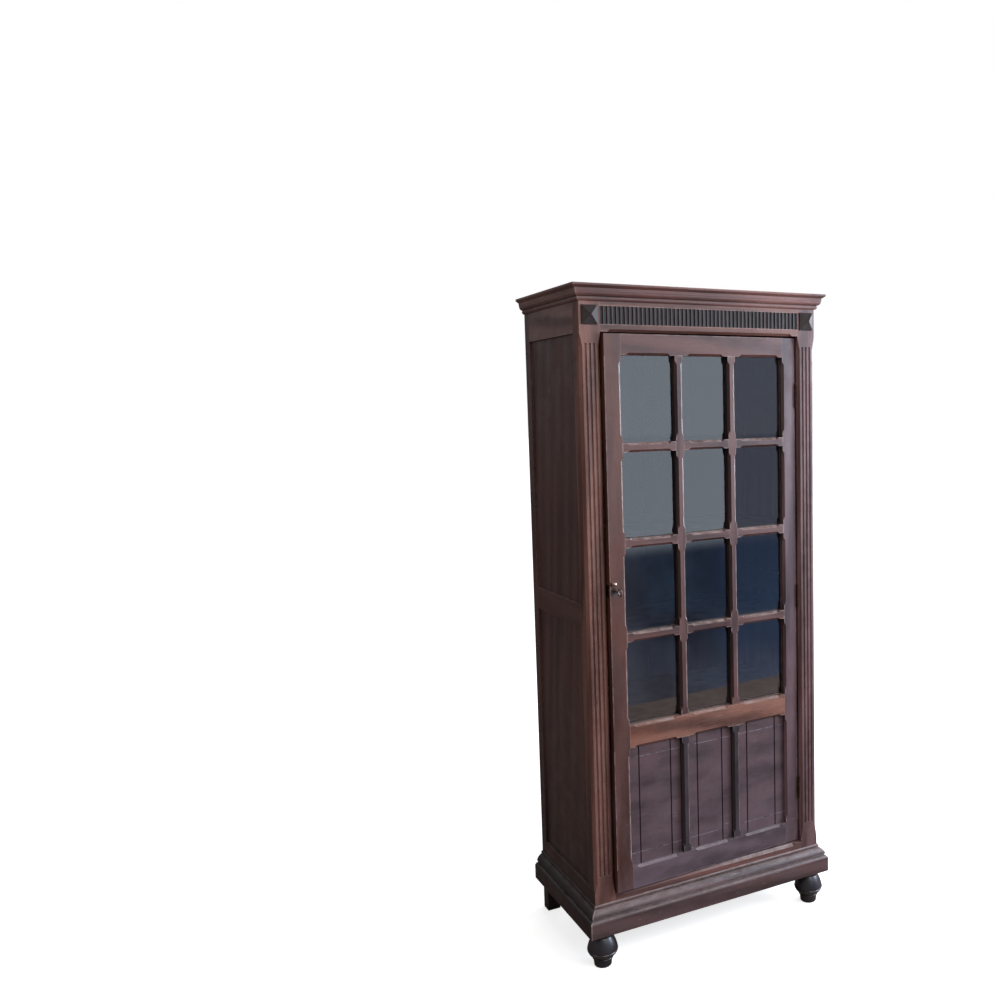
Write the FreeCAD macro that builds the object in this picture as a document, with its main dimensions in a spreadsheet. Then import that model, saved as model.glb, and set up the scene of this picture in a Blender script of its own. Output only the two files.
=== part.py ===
import FreeCAD, Part
import os
import re

import Sketcher

# One-door glazed bookcase in stained wood: a panelled case with fluted front posts, a moulded
# cornice and plinth, and a door of twelve panes over three wood panels.
# Millimetres, +Z up, the front faces -Y. The origin is on the floor, in the middle of the
# outline that the piece has with its key in the lock. The door stands ajar at rest.

# Driving dimensions. A name that ends in share is a fraction of the size that it follows.
SIZES = {
    # Case
    "case_width": 764,
    "case_depth": 414,
    "case_height": 1900,
    "front_post_width": 60,
    "front_post_depth": 42,
    "rear_post_width": 40,
    "rear_post_depth": 36,
    "top_board_thickness": 18,
    "floor_board_thickness": 18,
    "front_rail_thickness": 25,
    "opening_bottom": 206,
    "frieze_drop": 124,
    "overrun": 2,
    # Panelled sides and back
    "side_rail_thickness": 24,
    "side_top_rail_width": 109,
    "side_mid_rail_lift": 20,
    "side_mid_rail_width": 64,
    "side_bottom_rail_top": 224,
    "side_panel_thickness": 8,
    "side_panel_recess": 7,
    "groove_depth": 8,
    "groove_clearance": 0.5,
    "back_board_thickness": 10,
    "back_board_gap": 1,
    "back_board_count": 4,
    "back_rebate": 12,
    "back_rail_width": 80,
    # Shelves and their cleats
    "shelf_thickness": 20,
    "shelf_clearance": 0.6,
    "cleat_width": 20,
    "cleat_height": 20,
    # Cornice, plinth and feet
    "cornice_height": 44,
    "cornice_reach": 26,
    "plinth_bottom": 99,
    "plinth_height": 86,
    "plinth_reach": 26.5,
    "foot_radius": 44,
    "foot_side_inset": 24,
    "foot_front_inset": 14,
    "dowel_radius": 10,
    "dowel_length": 30,
    # Fluted front posts
    "post_flute_radius": 3.4,
    "post_flute_pitch": 12.6,
    "post_flute_bottom_inset": 60,
    "post_flute_top_inset": 34,
    "post_chamfer": 8,
    "post_chamfer_stop": 36,
    "post_chamfer_bottom_inset": 4,
    "post_chamfer_top_inset": 4,
    # Frieze and sill
    "flute_band_lift": 20,
    "flute_band_height": 48,
    "flute_strip_thickness": 7,
    "flute_radius": 4.2,
    "flute_count": 50,
    "boss_width": 46,
    "boss_height": 51,
    "boss_base": 4,
    "boss_point": 14,
    "lintel_chamfer": 7,
    "sill_chamfer": 8,
    "rail_chamfer_inset": 20,
    # Door frame
    "door_thickness": 24,
    "door_recess": 13,
    "door_top_gap": 5,
    "door_bottom_gap": 4,
    "hinge_gap": 3.4,
    "lock_gap": 4,
    "ajar_angle": 2.3,
    "stile_width": 50,
    "hinge_stile_width": 45,
    "door_top_rail_width": 57,
    "door_mid_rail_width": 65,
    "door_bottom_rail_width": 64,
    "lower_panel_height": 347,
    "centre_column_width": 152,
    "upright_bar_width": 25,
    "cross_bar_height": 26,
    "door_chamfer": 6.5,
    "door_chamfer_stop": 9,
    "door_chamfer_inset": 14,
    # Glazing and lower panels
    "glass_lip": 17,
    "glass_rebate": 8,
    "glass_thickness": 3,
    "bead_depth": 4,
    "bead_width": 7,
    "door_panel_recess": 13,
    "door_panel_thickness": 8,
    "panel_line_inset": 33,
    "panel_line_width": 4.5,
    "panel_line_depth": 3,
    "panel_scribe_width": 1.6,
    "panel_scribe_depth": 1,
    # Hinges
    "hinge_height": 66,
    "hinge_inset": 170,
    "leaf_thickness": 1.4,
    "leaf_depth": 18,
    "knuckle_radius": 3.5,
    "knuckle_clearance": 0.3,
    "pin_radius": 1.5,
    "pin_head_radius": 2.8,
    "pin_head_height": 3,
    "running_clearance": 0.05,
    "screw_radius": 1.6,
    "screw_head_radius": 2.9,
    "screw_length": 16,
    "screw_depth": 11,
    "screw_spread_share": 0.36,
    # Lock, bolt, key and keyhole plate
    "key_height": 1074,
    "lock_backset": 11,
    "lock_case_width": 40,
    "lock_case_below": 20,
    "lock_case_above": 16,
    "lock_case_cover": 5,
    "lock_wall": 1.2,
    "fit_clearance": 0.3,
    "bolt_thickness": 5,
    "bolt_height": 9,
    "bolt_length": 33,
    "bolt_rise": 4.2,
    "bolt_throw": 9,
    "strike_thickness": 1.5,
    "strike_margin": 4,
    "strike_depth": 12,
    "key_radius": 2.9,
    "key_tail": 22,
    "key_neck": 26,
    "key_collar_radius": 4.4,
    "key_collar_length": 4,
    "key_bow_radius": 9.8,
    "key_bow_wire": 2.2,
    "key_bit_reach": 9,
    "key_bit_thickness": 2.4,
    "key_bit_start": 13,
    "key_bit_length": 7,
    "keyhole_slot": 3.2,
    "plate_radius": 7,
    "plate_length": 24,
    "plate_rise": 7.5,
    "plate_thickness": 1.2,
    # Small round pull above the keyhole, and the door stop
    "pull_rise": 19,
    "pull_backset": 10,
    "pull_radius": 7,
    "pull_length": 15,
    "pull_neck_radius": 3.2,
    "pull_rose_radius": 6.2,
    "pull_rose_thickness": 1.2,
    "pull_shank_radius": 2.2,
    "pull_shank_length": 12,
    "stop_width": 12,
    "stop_clearance": 0.5,
}

# Places worked out from the driving dimensions
PLACES = {
    "half_width": "case_width / 2",
    "post_top": "case_height - top_board_thickness",
    "opening_top": "case_height - frieze_drop",
    "flute_band_bottom": "opening_top + flute_band_lift",
    "post_flute_bottom": "opening_bottom + post_flute_bottom_inset",
    "post_flute_top": "opening_top - post_flute_top_inset",
    "post_chamfer_bottom": "opening_bottom + post_chamfer_bottom_inset",
    "post_chamfer_top": "opening_top - post_chamfer_top_inset",
    "opening_half": "half_width - front_post_width",
    "rear_inner": "half_width - rear_post_width",
    "side_inner": "half_width - side_rail_thickness",
    "panel_outer": "half_width - side_panel_recess",
    "groove_hold": "groove_depth - groove_clearance",
    "plinth_top": "plinth_bottom + plinth_height",
    "cornice_bottom": "case_height - cornice_height",
    "side_top_rail_bottom": "post_top - side_top_rail_width",
    "side_mid_rail_bottom": "case_height / 2 + side_mid_rail_lift",
    "side_mid_rail_top": "side_mid_rail_bottom + side_mid_rail_width",
    # Door outline, hinge pin and the distance that the key reaches in front of the posts
    "door_left": "lock_gap - opening_half",
    "door_right": "opening_half - hinge_gap",
    "pin_x": "opening_half - hinge_gap / 2",
    "pin_gap": "knuckle_radius + knuckle_clearance",
    "pin_housing_end": "pin_head_height + knuckle_clearance",
    "key_x": "door_left + lock_backset",
    "pull_x": "door_left + pull_backset",
    "pull_height": "key_height + pull_rise",
    "key_out": "key_neck + 2 * (key_bow_radius + key_bow_wire)",
    "key_swing": "(pin_x - key_x) * sin(ajar_angle)",
    "key_reach": "key_swing + (key_out - pin_gap) * cos(ajar_angle) + pin_gap - door_recess",
    # Depths, from the front plane of the posts to the back
    "front_y": "(key_reach - case_depth) / 2",
    "back_y": "front_y + case_depth",
    "front_post_back": "front_y + front_post_depth",
    "rear_post_front": "back_y - rear_post_depth",
    "back_board_front": "back_y - back_board_thickness",
    "door_front": "front_y + door_recess",
    "door_back": "door_front + door_thickness",
    "pin_y": "door_front - pin_gap",
    "door_shift_x": "pin_x - pin_x * cos(ajar_angle) + pin_y * sin(ajar_angle)",
    "door_shift_y": "pin_y - pin_x * sin(ajar_angle) - pin_y * cos(ajar_angle)",
    # Door heights and columns
    "door_bottom": "opening_bottom + door_bottom_gap",
    "door_top": "opening_top - door_top_gap",
    "lower_bottom": "door_bottom + door_bottom_rail_width",
    "lower_top": "lower_bottom + lower_panel_height",
    "glazed_bottom": "lower_top + door_mid_rail_width",
    "glazed_top": "door_top - door_top_rail_width",
    "row_height": "(glazed_top - glazed_bottom - 3 * cross_bar_height) / 4",
    "row_step": "row_height + cross_bar_height",
    "stile_left": "door_left + stile_width",
    "stile_right": "door_right - hinge_stile_width",
    "column_middle": "(stile_left + stile_right) / 2",
    "column_half": "centre_column_width / 2",
    "bar_outer": "column_half + upright_bar_width",
    "glass_front": "door_front + glass_lip",
    "glass_back": "glass_front + glass_thickness",
    "glass_hold": "glass_rebate - groove_clearance",
    "panel_front": "door_front + door_panel_recess",
    "panel_back": "panel_front + door_panel_thickness",
    # Lock and bolt
    "lock_front": "door_front + lock_case_cover",
    "bolt_front": "lock_front + lock_wall + fit_clearance",
    "bolt_back": "bolt_front + bolt_thickness",
    "bolt_bottom": "key_height + bolt_rise",
    "bolt_top": "bolt_bottom + bolt_height",
    "keyhole_radius": "key_radius + fit_clearance",
    "keyhole_slot_bottom": "key_height - key_bit_reach - fit_clearance",
}

# Mouldings, as shares of reach and height from the inner bottom corner. A row of four numbers
# ends an arc, with the point that it passes through last.
CORNICE_SHARES = [
    (0, 0),
    (0.06, 0),
    (0.27, 0.14, 0.2, 0.045),
    (0.29, 0.14),
    (0.29, 0.19),
    (0.24, 0.2),
    (0.24, 0.25),
    (0.37, 0.28),
    (0.6, 0.53, 0.54, 0.38),
    (0.63, 0.55),
    (0.66, 0.74),
    (0.72, 0.75),
    (0.94, 0.85),
    (1, 0.92, 0.985, 0.875),
    (1, 1),
    (0, 1),
]
PLINTH_SHARES = [
    (0, 0),
    (0.84, 0),
    (1, 0.05, 0.953, 0.015),
    (1, 0.45),
    (0.75, 0.6, 0.935, 0.555),
    (0.62, 0.605),
    (0.57, 0.63),
    (0.62, 0.655),
    (0.73, 0.66),
    (0.73, 0.7),
    (0.26, 0.885, 0.53, 0.81),
    (0.13, 0.9),
    (0.13, 0.925),
    (0.19, 0.935),
    (0.19, 0.97),
    (0.11, 1),
    (0, 1),
]
# Turned foot, as shares of its radius and of the plinth's height above the floor
FOOT_SHARES = [
    (0, 0),
    (0.48, 0),
    (0.57, 0.05, 0.545, 0.015),
    (0.61, 0.22),
    (0.65, 0.225),
    (0.65, 0.265, 0.68, 0.245),
    (0.62, 0.275),
    (0.985, 0.46, 0.86, 0.36),
    (0.955, 0.475),
    (1, 0.5),
    (0.66, 0.9, 0.88, 0.7),
    (0.66, 1),
    (0, 1),
]

doc = FreeCAD.newDocument("GlazedBookcase")
sheet = doc.addObject("Spreadsheet::Sheet", "Sizes")
pieces = []


def fill_sheet():
    cells = {name: str(number) for name, number in SIZES.items()}
    cells.update({name: "=" + formula for name, formula in PLACES.items()})
    for row, (name, content) in enumerate(cells.items(), start=1):
        sheet.set(f"A{row}", name)
        sheet.set(f"B{row}", content)
        sheet.setAlias(f"B{row}", name)
    doc.recompute()


def on_sheet(text):
    """The expression with every size and place read from the sheet."""
    return re.sub(r"[a-z]\w*", lambda word: with_sheet(word[0]), str(text))


def with_sheet(word):
    known = word in SIZES or word in PLACES
    return f"{sheet.Name}.{word}" if known else word


def value(text):
    return float(sheet.evalExpression(on_sheet(text)))


def bind(target, setting, text):
    target.setExpression(setting, on_sheet(text))


def piece(kind, label):
    made = doc.addObject(kind, label)
    made.Label = label
    pieces.append(made)
    return made


def hang(made):
    """Turns a piece with the door, from its shut place to the ajar rest pose."""
    bind(made, "Placement.Base.x", "door_shift_x")
    bind(made, "Placement.Base.y", "door_shift_y")
    bind(made, "Placement.Rotation.Angle", "ajar_angle")
    return made


def set_box(box, x, y, z):
    for setting, axis, (low, high) in zip(("Length", "Width", "Height"), "xyz", (x, y, z)):
        bind(box, setting, f"({high}) - ({low})")
        bind(box, f"Placement.Base.{axis}", low)
    return box


def board(label, x, y, z):
    return set_box(piece("Part::Box", label), x, y, z)


def loose_box(x, y, z):
    return set_box(doc.addObject("Part::Box", "Blank"), x, y, z)


def add_box(body, x, y, z):
    return set_box(body.newObject("PartDesign::AdditiveBox", "Block"), x, y, z)


def cut_box(body, x, y, z):
    return set_box(body.newObject("PartDesign::SubtractiveBox", "Recess"), x, y, z)


AXES = {
    "x": FreeCAD.Vector(1, 0, 0),
    "y": FreeCAD.Vector(0, 1, 0),
    "z": FreeCAD.Vector(0, 0, 1),
    "-x": FreeCAD.Vector(-1, 0, 0),
    "-y": FreeCAD.Vector(0, -1, 0),
}


def set_round(body, kind, axis, start, **settings):
    """A PartDesign primitive that is round about an axis, from its start point."""
    made = body.newObject(f"PartDesign::{kind}", kind)
    turn = FreeCAD.Rotation(AXES["z"], AXES[axis])
    made.Placement = FreeCAD.Placement(FreeCAD.Vector(), turn)
    for name, text in zip("xyz", start):
        bind(made, f"Placement.Base.{name}", text)
    for setting, text in settings.items():
        bind(made, setting, text)
    return made


def add_rod(body, axis, start, length, radius):
    return set_round(body, "AdditiveCylinder", axis, start, Height=length, Radius=radius)


def cut_rod(body, axis, start, length, radius):
    return set_round(body, "SubtractiveCylinder", axis, start, Height=length, Radius=radius)


def stopped_chamfer(body, along, corner, outward, run, width, stop):
    """Chamfers the arris that runs along an axis; the cut rises to nothing at both ends."""
    low, high = run
    axis = AXES[along]
    others = [name for name in "xyz" if name != along]
    diagonal = AXES[others[0]] * outward[0] + AXES[others[1]] * outward[1]
    across = diagonal.cross(axis)
    wedge = body.newObject("PartDesign::SubtractiveWedge", "StoppedChamfer")
    wedge.Placement = FreeCAD.Placement(FreeCAD.Vector(), FreeCAD.Rotation(across, diagonal, axis))
    for name, text, sign in zip(others, corner, outward):
        bind(wedge, f"Placement.Base.{name}", f"{text} - ({sign}) * {width} / 2")
    wedge.Ymin = 0
    bind(wedge, "Ymax", f"{width} * sqrt(2)")
    for setting in ("Xmin", "X2min"):
        bind(wedge, setting, f"-{width}")
    for setting in ("Xmax", "X2max"):
        bind(wedge, setting, width)
    bind(wedge, "Zmin", f"{low} + {stop}")
    bind(wedge, "Zmax", f"{high} - {stop}")
    bind(wedge, "Z2min", f"{low} - {stop}")
    bind(wedge, "Z2max", f"{high} + {stop}")


def origin_feature(body, role):
    return next(feature for feature in body.Origin.OriginFeatures if feature.Role == role)


def tie(sketch, geometry, end, corner):
    """Ties one end of a sketch line to its two expressions, measured from the sketch's origin."""
    for kind, text, zero_axis in zip(("DistanceX", "DistanceY"), corner, (-2, -1)):
        if text == "0":
            sketch.addConstraint(Sketcher.Constraint("PointOnObject", geometry, end, zero_axis))
            continue
        rule = Sketcher.Constraint(kind, -1, 1, geometry, end, value(text))
        bind(sketch, f"Constraints[{sketch.addConstraint(rule)}]", text)


def outline(body, plane, corners, offset=("0", "0", "0")):
    """A closed sketch of lines and three-point arcs; each row ends a line or an arc."""
    sketch = body.newObject("Sketcher::SketchObject", "Outline")
    sketch.AttachmentSupport = (origin_feature(body, plane), [""])
    sketch.MapMode = "FlatFace"
    for name, text in zip("xyz", offset):
        bind(sketch, f"AttachmentOffset.Base.{name}", text)
    places = [FreeCAD.Vector(value(row[0]), value(row[1]), 0) for row in corners]
    edges = []
    for number, row in enumerate(corners):
        start, end = places[number - 1], places[number]
        if len(row) == 2:
            edge = sketch.addGeometry(Part.LineSegment(start, end))
        else:
            middle = FreeCAD.Vector(value(row[2]), value(row[3]), 0)
            edge = sketch.addGeometry(Part.Arc(start, middle, end))
            mark = sketch.addGeometry(Part.Point(middle), True)
            tie(sketch, mark, 1, row[2:])
            sketch.addConstraint(Sketcher.Constraint("PointOnObject", mark, 1, edge))
        first_gap = sketch.getPoint(edge, 1).distanceToPoint(start)
        forward = first_gap < sketch.getPoint(edge, 2).distanceToPoint(start)
        edges.append((edge, 1, 2) if forward else (edge, 2, 1))
    for number, row in enumerate(corners):
        edge, _, last = edges[number]
        following, first, _ = edges[(number + 1) % len(edges)]
        sketch.addConstraint(Sketcher.Constraint("Coincident", edge, last, following, first))
        tie(sketch, edge, last, row[:2])
    return sketch


def scaled(shares, u_size, v_size, u_start="0", v_start="0", u_sign="+"):
    """Rows of shares as rows of expressions."""
    rows = []
    for row in shares:
        texts = []
        for number, share in enumerate(row):
            size, start, sign = ((u_size, u_start, u_sign), (v_size, v_start, "+"))[number % 2]
            texts.append(f"{start} {sign} {size} * {share}" if share else start)
        rows.append(tuple(texts))
    return rows


def pad(body, sketch, length):
    made = body.newObject("PartDesign::Pad", "Pad")
    made.Profile = sketch
    bind(made, "Length", length)


def revolve(body, sketch):
    made = body.newObject("PartDesign::Revolution", "Turning")
    made.Profile = sketch
    made.ReferenceAxis = (sketch, ["V_Axis"])
    made.Angle = 360


def sided(side, inner, outer):
    """The low and high end of a stretch from inner to outer, on the left (-1) or right (1)."""
    return (f"-({outer})", f"-({inner})") if side < 0 else (inner, outer)


def mirror(label, source):
    made = piece("Part::Mirroring", label)
    made.Source = source
    made.Normal = AXES["x"]


def group(label, members):
    made = piece("Part::Compound", label)
    made.Links = members
    return made


SIDES = (("left", -1), ("right", 1))
CASE_DEPTH = ("front_y", "back_y")
SIDE_SPAN = ("front_post_back", "rear_post_front")
FRONT_RAIL_DEPTH = ("front_y", "front_y + front_rail_thickness")
DOOR_DEPTH = ("door_front", "door_back")
LIP_DEPTH = ("door_front", "glass_front")
REBATE_DEPTH = ("glass_front", "door_back")
PANEL_DEPTH = ("panel_front", "panel_back")
COLUMNS = (
    ("left", "stile_left", "column_middle - bar_outer"),
    ("centre", "column_middle - column_half", "column_middle + column_half"),
    ("right", "column_middle + bar_outer", "stile_right"),
)
ROW_STARTS = [f"glazed_bottom + {row} * row_step" for row in range(4)]
ROWS = [(f"({start})", f"({start} + row_height)") for start in ROW_STARTS]
LOWER_ROW = ("lower_bottom", "lower_top")
HINGES = ("(door_bottom + hinge_inset)", "((door_bottom + door_top) / 2)", "(door_top - hinge_inset)")
SCREW_OFFSETS = ("- hinge_height * screw_spread_share", "+ hinge_height * screw_spread_share")
SCREW_PLACES = [f"({hinge} {offset})" for hinge in HINGES for offset in SCREW_OFFSETS]
SCREW_Y = "door_front + screw_depth"


def front_post(name, side):
    post = piece("PartDesign::Body", f"front_{name}_post")
    x = sided(side, "opening_half", "half_width")
    add_box(post, x, ("front_y", "front_post_back"), ("plinth_bottom", "post_top"))
    run = ("post_chamfer_bottom", "post_chamfer_top")
    for arris, outward in (("opening_half", -side), ("half_width", side)):
        corner = (f"({side}) * {arris}", "front_y")
        stopped_chamfer(post, "z", corner, (outward, -1), run, "post_chamfer", "post_chamfer_stop")
    middle = f"({side}) * (half_width + opening_half) / 2"
    for step in (-1, 0, 1):
        flute_x = f"{middle} + ({step}) * post_flute_pitch"
        start = (flute_x, "front_y", "post_flute_bottom")
        cut_rod(post, "z", start, "post_flute_top - post_flute_bottom", "post_flute_radius")
        for end in ("post_flute_bottom", "post_flute_top"):
            set_round(post, "SubtractiveSphere", "z", (flute_x, "front_y", end), Radius="post_flute_radius")
    cut_box(
        post,
        sided(side, "panel_outer - side_panel_thickness", "panel_outer"),
        ("front_post_back - groove_depth", "front_post_back"),
        ("side_bottom_rail_top - groove_depth", "side_top_rail_bottom + groove_depth"),
    )
    foot = (f"({side}) * (half_width - foot_side_inset)", "front_y + foot_front_inset", "plinth_bottom")
    cut_rod(post, "z", foot, "dowel_length", "dowel_radius")
    return post


def front_posts():
    for name, side in SIDES:
        post = front_post(name, side)
        if name == "left":
            strike_x = ("-opening_half - strike_thickness", "-opening_half")
            cut_box(post, strike_x, *STRIKE_FACE)
            hole_x = ("-opening_half - strike_depth", "-opening_half")
            cut_box(post, hole_x, *BOLT_SLOT)
        else:
            for hinge in HINGES:
                start = ("pin_x", "pin_y", f"{hinge} - hinge_height / 2 - pin_housing_end")
                cut_rod(post, "z", start, "hinge_height + 2 * pin_housing_end", "pin_gap")
            for place in SCREW_PLACES:
                start = ("opening_half", SCREW_Y, place)
                cut_rod(post, "x", start, "screw_length", "screw_radius + running_clearance")


BOLT_SLOT = (
    ("bolt_front - fit_clearance", "bolt_back + fit_clearance"),
    ("bolt_bottom - fit_clearance", "bolt_top + fit_clearance"),
)
STRIKE_FACE = (
    ("bolt_front - strike_margin", "bolt_back + strike_margin"),
    ("bolt_bottom - strike_margin", "bolt_top + strike_margin"),
)


def strike_and_stop():
    plate = piece("PartDesign::Body", "strike_plate")
    thickness = ("-opening_half - strike_thickness", "-opening_half")
    add_box(plate, thickness, *STRIKE_FACE)
    cut_box(plate, thickness, *BOLT_SLOT)
    board(
        "door_stop",
        ("-opening_half", "stop_width - opening_half"),
        ("door_back + stop_clearance", "front_post_back"),
        ("opening_bottom", "opening_top"),
    )


def rear_posts():
    post = piece("PartDesign::Body", "rear_left_post")
    x = sided(-1, "rear_inner", "half_width")
    add_box(post, x, ("rear_post_front", "back_y"), ("0", "post_top"))
    rebate_x = sided(-1, "rear_inner", "rear_inner + back_rebate")
    cut_box(post, rebate_x, ("back_board_front", "back_y"), ("plinth_bottom", "post_top"))
    cut_box(
        post,
        sided(-1, "panel_outer - side_panel_thickness", "panel_outer"),
        ("rear_post_front", "rear_post_front + groove_depth"),
        ("side_bottom_rail_top - groove_depth", "side_top_rail_bottom + groove_depth"),
    )
    mirror("rear_right_post", post)


def side_rail(name, bottom, top, grooves):
    rail = piece("PartDesign::Body", f"left_side_{name}_rail")
    add_box(rail, sided(-1, "side_inner", "half_width"), SIDE_SPAN, (bottom, top))
    for low, high in grooves:
        cut_box(rail, sided(-1, "panel_outer - side_panel_thickness", "panel_outer"), SIDE_SPAN, (low, high))
    mirror(f"right_side_{name}_rail", rail)


def side_panel(name, bottom, top):
    x = sided(-1, "panel_outer - side_panel_thickness", "panel_outer")
    y = ("front_post_back - groove_hold", "rear_post_front + groove_hold")
    panel = board(f"left_side_{name}_panel", x, y, (f"{bottom} - groove_hold", f"{top} + groove_hold"))
    mirror(f"right_side_{name}_panel", panel)


def sides():
    top_groove = ("side_top_rail_bottom", "side_top_rail_bottom + groove_depth")
    side_rail("top", "side_top_rail_bottom", "post_top", [top_groove])
    mid_grooves = [
        ("side_mid_rail_bottom", "side_mid_rail_bottom + groove_depth"),
        ("side_mid_rail_top - groove_depth", "side_mid_rail_top"),
    ]
    side_rail("mid", "side_mid_rail_bottom", "side_mid_rail_top", mid_grooves)
    bottom_groove = ("side_bottom_rail_top - groove_depth", "side_bottom_rail_top")
    side_rail("bottom", "plinth_bottom", "side_bottom_rail_top", [bottom_groove])
    side_panel("upper", "side_mid_rail_top", "side_top_rail_bottom")
    side_panel("lower", "side_bottom_rail_top", "side_mid_rail_bottom")


def rail_arris(rail, height, upward, width):
    """A stopped chamfer on the edge of a front rail that borders the door's opening."""
    run = ("rail_chamfer_inset - opening_half", "opening_half - rail_chamfer_inset")
    stopped_chamfer(rail, "x", ("front_y", height), (-1, upward), run, width, "door_chamfer_stop")


def frieze():
    band = ("flute_band_bottom", "flute_band_bottom + flute_band_height")
    strip_depth = ("front_y", "front_y + flute_strip_thickness")
    width = ("-opening_half", "opening_half")
    rail = piece("PartDesign::Body", "frieze_rail")
    add_box(rail, ("-opening_half", "opening_half"), FRONT_RAIL_DEPTH, ("opening_top", "post_top"))
    cut_box(rail, width, strip_depth, band)
    rail_arris(rail, "opening_top", -1, "lintel_chamfer")
    strip = piece("PartDesign::Body", "fluted_frieze_strip")
    add_box(strip, width, strip_depth, band)
    first = ("opening_half / flute_count - opening_half", "front_y", "flute_band_bottom")
    flute = cut_rod(strip, "z", first, "flute_band_height", "flute_radius")
    flutes = strip.newObject("PartDesign::LinearPattern", "Flutes")
    flutes.Originals = [flute]
    flutes.Direction = (origin_feature(strip, "X_Axis"), [""])
    bind(flutes, "Length", "2 * opening_half * (flute_count - 1) / flute_count")
    bind(flutes, "Occurrences", "flute_count")
    strip.Tip = flutes


def boss(side):
    """A square block with a four-sided point, on the plain top of a front post."""
    made = doc.addObject("PartDesign::Body", "Boss")
    middle_x = f"({side}) * (half_width + opening_half) / 2"
    middle_z = "flute_band_bottom + flute_band_height / 2"
    x = (f"{middle_x} - boss_width / 2", f"{middle_x} + boss_width / 2")
    z = (f"{middle_z} - boss_height / 2", f"{middle_z} + boss_height / 2")
    add_box(made, x, ("front_y - boss_base", "front_y"), z)
    point = made.newObject("PartDesign::AdditiveWedge", "Point")
    turn = FreeCAD.Rotation(AXES["-x"], AXES["-y"], AXES["z"])
    point.Placement = FreeCAD.Placement(FreeCAD.Vector(), turn)
    for name, text in zip("xyz", (middle_x, "front_y - boss_base", middle_z)):
        bind(point, f"Placement.Base.{name}", text)
    point.Ymin = 0
    bind(point, "Ymax", "boss_point")
    for setting, text in (("Xmin", "-boss_width / 2"), ("Xmax", "boss_width / 2")):
        bind(point, setting, text)
    for setting, text in (("Zmin", "-boss_height / 2"), ("Zmax", "boss_height / 2")):
        bind(point, setting, text)
    for setting in ("X2min", "X2max", "Z2min", "Z2max"):
        setattr(point, setting, 0)
    return made


def back_and_boards():
    rail_x = ("-rear_inner", "rear_inner")
    rail_y = ("rear_post_front", "back_board_front")
    board("back_top_rail", rail_x, rail_y, ("post_top - back_rail_width", "post_top"))
    board("back_bottom_rail", rail_x, rail_y, ("opening_bottom - back_rail_width", "opening_bottom"))
    low = "(-rear_inner - back_rebate)"
    step = "(2 * (rear_inner + back_rebate) + back_board_gap) / back_board_count"
    boards = []
    for number in range(SIZES["back_board_count"]):
        x = (f"{low} + {number} * {step}", f"{low} + {number + 1} * {step} - back_board_gap")
        boards.append(loose_box(x, ("back_board_front", "back_y"), ("plinth_bottom", "post_top")))
    group("back_boards", boards)
    board("top_board", ("-half_width", "half_width"), CASE_DEPTH, ("post_top", "case_height"))
    front_x = ("-opening_half", "opening_half")
    sill = piece("PartDesign::Body", "front_bottom_rail")
    add_box(sill, front_x, FRONT_RAIL_DEPTH, ("plinth_bottom", "opening_bottom"))
    rail_arris(sill, "opening_bottom", 1, "sill_chamfer")
    floor = piece("PartDesign::Body", "floor_board")
    thickness = ("opening_bottom - floor_board_thickness", "opening_bottom")
    behind_rail = FRONT_RAIL_DEPTH[1]
    add_box(floor, ("-side_inner", "side_inner"), (behind_rail, "rear_post_front"), thickness)
    for _, side in SIDES:
        notch_x = sided(side, "opening_half", "side_inner")
        cut_box(floor, notch_x, (behind_rail, "front_post_back"), thickness)


def shelves():
    """Shelves behind the cross bars and one level with the top of the door's middle rail."""
    bottoms = ["(glazed_bottom - shelf_thickness)"]
    bottoms += [f"({top} + (cross_bar_height - shelf_thickness) / 2)" for _, top in ROWS[:3]]
    back = "back_board_front - shelf_clearance"
    boards = []
    cleats = []
    for bottom in bottoms:
        z = (bottom, f"{bottom} + shelf_thickness")
        blank = loose_box(
            ("shelf_clearance - side_inner", "side_inner - shelf_clearance"),
            ("front_post_back + shelf_clearance", back),
            z,
        )
        for _, side in SIDES:
            notch_x = sided(side, "rear_inner - shelf_clearance", "side_inner")
            notch = loose_box(notch_x, ("rear_post_front - shelf_clearance", "back_y"), z)
            shelf = doc.addObject("Part::Cut", "Shelf")
            shelf.Base, shelf.Tool = blank, notch
            blank = shelf
            cleat_x = sided(side, "side_inner - cleat_width", "side_inner")
            cleats.append(loose_box(cleat_x, SIDE_SPAN, (f"{bottom} - cleat_height", bottom)))
        boards.append(blank)
    group("shelves", boards)
    group("shelf_cleats", cleats)


def mitre(body, x, turn, bottom, height, reach):
    """Cuts a moulding's end along the diagonal that leaves the case's front corner."""
    cut = body.newObject("PartDesign::SubtractiveBox", "Mitre")
    cut.Placement = FreeCAD.Placement(FreeCAD.Vector(), FreeCAD.Rotation(AXES["z"], turn))
    for setting in ("Length", "Width"):
        bind(cut, setting, f"2 * {reach}")
    bind(cut, "Height", f"{height} + 2 * overrun")
    for name, text in zip("xyz", (x, "front_y", f"{bottom} - overrun")):
        bind(cut, f"Placement.Base.{name}", text)


def moulding(label, shares, bottom, height, reach):
    """A front length with two mitres, and side lengths that run to the back."""
    front = piece("PartDesign::Body", f"front_{label}")
    profile = scaled(shares, reach, height, "front_y", bottom, "-")
    start = ("0", "0", f"-half_width - {reach}")
    pad(front, outline(front, "YZ_Plane", profile, start), f"case_width + 2 * {reach}")
    mitre(front, "-half_width", 135, bottom, height, reach)
    mitre(front, "half_width", -45, bottom, height, reach)
    left = piece("PartDesign::Body", f"left_{label}")
    profile = scaled(shares, reach, height, "-half_width", bottom, "-")
    pad(left, outline(left, "XZ_Plane", profile, ("0", "0", "-back_y")), f"case_depth + {reach}")
    mitre(left, "-half_width", 225, bottom, height, reach)
    mirror(f"right_{label}", left)


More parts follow.
